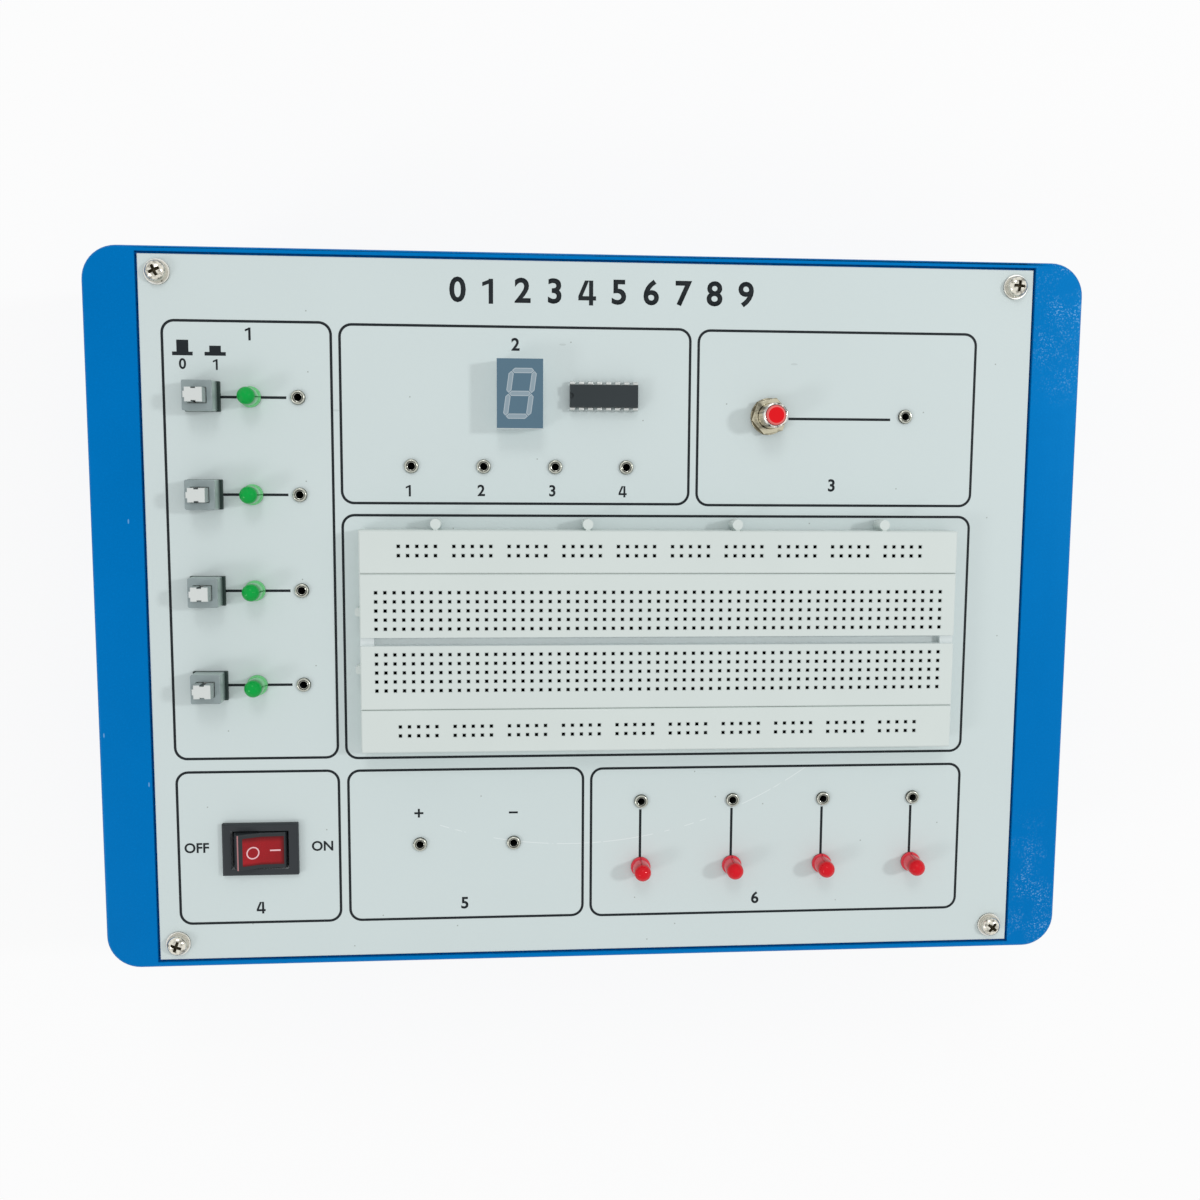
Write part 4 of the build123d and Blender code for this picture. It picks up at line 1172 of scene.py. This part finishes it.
class TRAINER_OT_rocker(bpy.types.Operator):
    """Make the power switch with its marks"""

    bl_idname = "trainer.rocker"
    bl_label = "Power switch"

    def on_outside(self, edge):
        """Sharp edges of the rocker, except its window's rim."""
        middle = middle_of(edge) - POWER
        left, right, half_width = -4.6 * MM, 7 * MM, 4.3 * MM
        rim = left < middle.x < right and abs(middle.y) < half_width
        return not rim and edge.calc_face_angle(0) > 0.6

    def in_well(self, face):
        middle = face.calc_center_median() - POWER
        half_length, half_width, bottom, lip = 8.2 * MM, 5.65 * MM, -6.6 * MM, 1.7 * MM
        inside = abs(middle.x) < half_length and abs(middle.y) < half_width
        return inside and bottom < middle.z < lip

    def on_flat(self, along, y):
        """Place and turn of a point on the rocker's two flats, measured from its middle."""
        valley = 2.5
        height = valley + abs(along) * FLAT_SLOPE
        x = along * math.cos(ROCKER_TILT) + height * math.sin(ROCKER_TILT)
        z = height * math.cos(ROCKER_TILT) - along * math.sin(ROCKER_TILT)
        turn = ROCKER_TILT - math.copysign(math.atan(FLAT_SLOPE), along)
        return {"location": POWER + Vector((x, y, z)) * MM, "rotation": (0, turn, 0)}

    def raised(self, turn):
        """Gives the open flat mark its thickness."""
        thickness = 0.03
        lift = Vector((math.sin(turn), 0, math.cos(turn))) * thickness * MM
        bpy.ops.mesh.select_all(action="SELECT")
        drawn_out(lift)
        outward()
        close_mesh()

    def marks(self, line):
        """A ring on the raised flat and a dash on the lowered one."""
        radius, length = 1.82 * MM, 2.97 * MM
        select_only()
        place = self.on_flat(-2.38, -0.42)
        bpy.ops.mesh.primitive_circle_add(vertices=WHOLE_CIRCLE, radius=radius, fill_type="NGON", **place)
        ring = named("ring")
        open_mesh(ring, action="SELECT")
        bpy.ops.mesh.inset(thickness=line)
        bpy.ops.mesh.delete(type="FACE")
        self.raised(place["rotation"][1])
        select_only()
        place = self.on_flat(3.78, 0)
        bpy.ops.mesh.primitive_plane_add(size=1, **place)
        bpy.context.object.scale = (length, line * 1.15, 1)
        dash = named("dash")
        open_mesh(dash)
        self.raised(place["rotation"][1])
        return joined("rocker_marks", [ring, dash])

    def execute(self, context):
        sizes = context.scene.trainer_fittings
        colours = context.scene.trainer_colours
        black = plastic("bezel_black", shade(colours.dark, 0.92), 0.5, 0.35, 0.01, 0.06)
        bezel = shaped("switch_bezel", "power_bezel", sizes.rocker_edge, black, "rocker_black")
        # Painted light: the well's walls and floor are pale so that, in their shade, they look about as dark
        # as the bezel.
        well = plastic("well_black", paint(176, 182, 184), 0.6, 0.35, 0.01, 0.06)
        second_finish(bezel, well, self.in_well)
        lever = from_solids("switch_rocker", "power_rocker")
        open_mesh(lever, "EDGE")
        choose(lever, "edges", self.on_outside)
        bpy.ops.mesh.bevel(offset=sizes.rocker_edge, segments=2)
        close_mesh()
        smooth(lever, 15)
        black = plastic("rocker_black", shade(colours.dark, 0.8), 0.42, 0.35, 0.006, 0.06)
        fit(lever, black, "power_lever")
        tip, tip_reach = POWER + Vector((-5.707, 0, 4.894)) * MM, 0.17 * MM
        # Painted highlight: a pink line on the raised end's edge, where light catches it.
        tip_highlight = plastic("worn_edge", paint(176, 120, 122), 0.4, 0.3, 0.006, 0.1)

        def on_tip(face):
            middle = face.calc_center_median()
            return math.hypot(middle.x - tip.x, middle.z - tip.z) < tip_reach

        second_finish(lever, tip_highlight, on_tip)
        window = from_solids("switch_window", "rocker_lens")
        smooth(window, 8)
        fit(window, rocker_window(colours.window, *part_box("rocker_lens")), "power_lever")
        white = plastic("mark_paint", paint(235, 190, 195), 0.5, 0.4, 0.004, 0.06)
        fit(self.marks(sizes.mark_line), white, "power_lever")
        return {"FINISHED"}


class TRAINER_OT_inside(bpy.types.Operator):
    """Give the supply and the other hidden parts their finishes"""

    bl_idname = "trainer.inside"
    bl_label = "Inner parts"

    def execute(self, context):
        for name, colour, roughness, grain, depth, mottle, *nodes in (
            ("bakelite", (40, 38, 36), 0.5, 0.3, 0.01, 0.1, "clock_switch_housing", "fuse_holder"),
            ("board_green", (28, 92, 56), 0.4, 0.6, 0.006, 0.12, "supply_board"),
            ("capacitor_sleeve", (34, 38, 70), 0.35, 0.6, 0.004, 0.08, "filter_capacitor"),
            ("moulded_black", (36, 37, 39), 0.5, 0.2, 0.01, 0.1, "bridge_rectifier", "timer_chip"),
            ("regulator_black", (42, 43, 45), 0.45, 0.2, 0.01, 0.1, "voltage_regulator"),
            ("terminal_green", (40, 128, 72), 0.42, 0.4, 0.006, 0.08, "terminal_block"),
        ):
            cover(plastic(name, paint(*colour), roughness, grain, depth, mottle), *nodes)
        glass = plastic("fuse_glass", paint(198, 206, 206), 0.15, 0.5, 0.002, 0.04, coat_weight=1.0)
        cover(glass, "fuse_link")
        cover(plated("terminal_tin", paint(196, 196, 190), 0.32), "clock_terminals", "power_terminals")
        cover(plated("sink_aluminium", paint(190, 192, 194), 0.4, 0.3), "heat_sink")
        steel = laid("core_steel", paint(96, 98, 102), paint(140, 142, 146), 0.6, 0.45, 0.8)
        cover(steel, "transformer_core")
        cover(laid("coil_tape", paint(196, 160, 60), paint(222, 190, 96), 1.2, 0.4), "transformer_coil")
        cover(laid("resistor_beige", paint(208, 184, 140), paint(150, 92, 50), 1.4, 0.4), "resistors")
        return {"FINISHED"}


class TRAINER_OT_stage(bpy.types.Operator):
    """Set the floor, the lamps and the camera"""

    bl_idname = "trainer.stage"
    bl_label = "Stage"

    def seen(self, wiring):
        """1 for rays from the camera or off gloss, and 0 for those that light the object."""
        rays = wiring.add("ShaderNodeLightPath")
        return rays["Is Camera Ray"] + rays["Is Glossy Ray"] + rays["Is Transmission Ray"]

    def floor(self):
        """A pale floor that shows white to the camera and still takes the object's shadow."""
        select_only()
        bpy.ops.mesh.primitive_plane_add(size=8)
        piece = named("floor")
        material = bpy.data.materials.new("floor_paper")
        material.use_nodes = True
        wiring = Wiring(material.node_tree)
        wiring.tree.nodes.clear()
        seen = self.seen(wiring)
        paper = wiring.add("ShaderNodeBsdfDiffuse", sockets={"Color": (0.85, 0.85, 0.85)})["BSDF"]
        glow = wiring.add("ShaderNodeEmission", sockets={"Color": (1, 1, 1), "Strength": 1.0})["Emission"]
        both = wiring.add("ShaderNodeMixShader", sockets={0: 0.86 * seen, 1: paper, 2: glow})["Shader"]
        wiring.add("ShaderNodeOutputMaterial", sockets={"Surface": both})
        piece.data.materials.append(material)

    def room(self, strength):
        """White all round for the camera and for gloss, softer for what lights the object."""
        world = bpy.data.worlds.new("room")
        world.use_nodes = True
        bpy.context.scene.world = world
        wiring = Wiring(world.node_tree)
        wiring.tree.nodes.clear()
        seen = self.seen(wiring)
        soft, white = (
            wiring.add("ShaderNodeBackground", sockets={"Color": (1, 1, 1), "Strength": level})["Background"]
            for level in (strength, 1.0)
        )
        both = wiring.add("ShaderNodeMixShader", sockets={0: seen, 1: soft, 2: white})["Shader"]
        wiring.add("ShaderNodeOutputWorld", sockets={"Surface": both})

    def lamp(self, name, place, size, power):
        """A square soft box that faces the panel's middle."""
        select_only()
        place = Vector(place)
        turn = (Vector((0, 0, FACE)) - place).to_track_quat("-Z", "Y").to_euler()
        bpy.ops.object.light_add(type="AREA", location=place, rotation=turn)
        light = bpy.context.object
        light.name = name
        light.data.size = size
        light.data.energy = power

    def execute(self, context):
        sizes = context.scene.trainer_stage
        self.floor()
        self.room(sizes.room_light)
        self.lamp("key_lamp", (0.93, 0.22, 1.09), 0.12, sizes.key_power)
        self.lamp("left_lamp", (-1.04, -0.47, 0.88), 0.3, sizes.left_power)
        self.lamp("back_lamp", (-0.1, 0.92, 1.12), 0.35, sizes.back_power)
        select_only()
        bpy.ops.object.camera_add(location=sizes.camera_place, rotation=sizes.camera_turn)
        camera = context.object
        camera.data.lens = sizes.lens
        camera.data.sensor_width = 36
        camera.data.clip_start = 0.01
        context.scene.camera = camera
        context.scene.view_settings.view_transform = "Standard"
        return {"FINISHED"}


class TRAINER_PT_panel(bpy.types.Panel):
    """Lists the steps that dress the trainer."""

    bl_idname = "TRAINER_PT_panel"
    bl_label = "Logic trainer"
    bl_space_type = "VIEW_3D"
    bl_region_type = "UI"
    bl_category = "Trainer"

    def draw(self, context):
        for step in STEPS:
            self.layout.operator(step.bl_idname)
        for name in GROUPS:
            group = getattr(context.scene, name)
            box = self.layout.box()
            for setting in group.bl_rna.properties:
                if setting.identifier not in ("rna_type", "name"):
                    box.prop(group, setting.identifier)


GROUPS = {
    "trainer_stage": StageSizes,
    "trainer_print": PrintSizes,
    "trainer_breadboard": BreadboardSizes,
    "trainer_fittings": FittingSizes,
    "trainer_colours": TrainerColours,
}
STEPS = (
    TRAINER_OT_case, TRAINER_OT_panel, TRAINER_OT_print, TRAINER_OT_breadboard, TRAINER_OT_switches,
    TRAINER_OT_lamps, TRAINER_OT_sockets, TRAINER_OT_screws, TRAINER_OT_decoder, TRAINER_OT_clock,
    TRAINER_OT_rocker, TRAINER_OT_inside, TRAINER_OT_stage,
)


def register():
    for part in (*GROUPS.values(), *STEPS, TRAINER_PT_panel):
        bpy.utils.register_class(part)
    for name, group in GROUPS.items():
        setattr(bpy.types.Scene, name, bpy.props.PointerProperty(type=group))


def unregister():
    for name in GROUPS:
        delattr(bpy.types.Scene, name)
    for part in (TRAINER_PT_panel, *reversed(STEPS), *reversed(GROUPS.values())):
        bpy.utils.unregister_class(part)


def main():
    register()
    for step in STEPS:
        family, name = step.bl_idname.split(".")
        getattr(getattr(bpy.ops, family), name)()


if __name__ == "__main__":
    main()
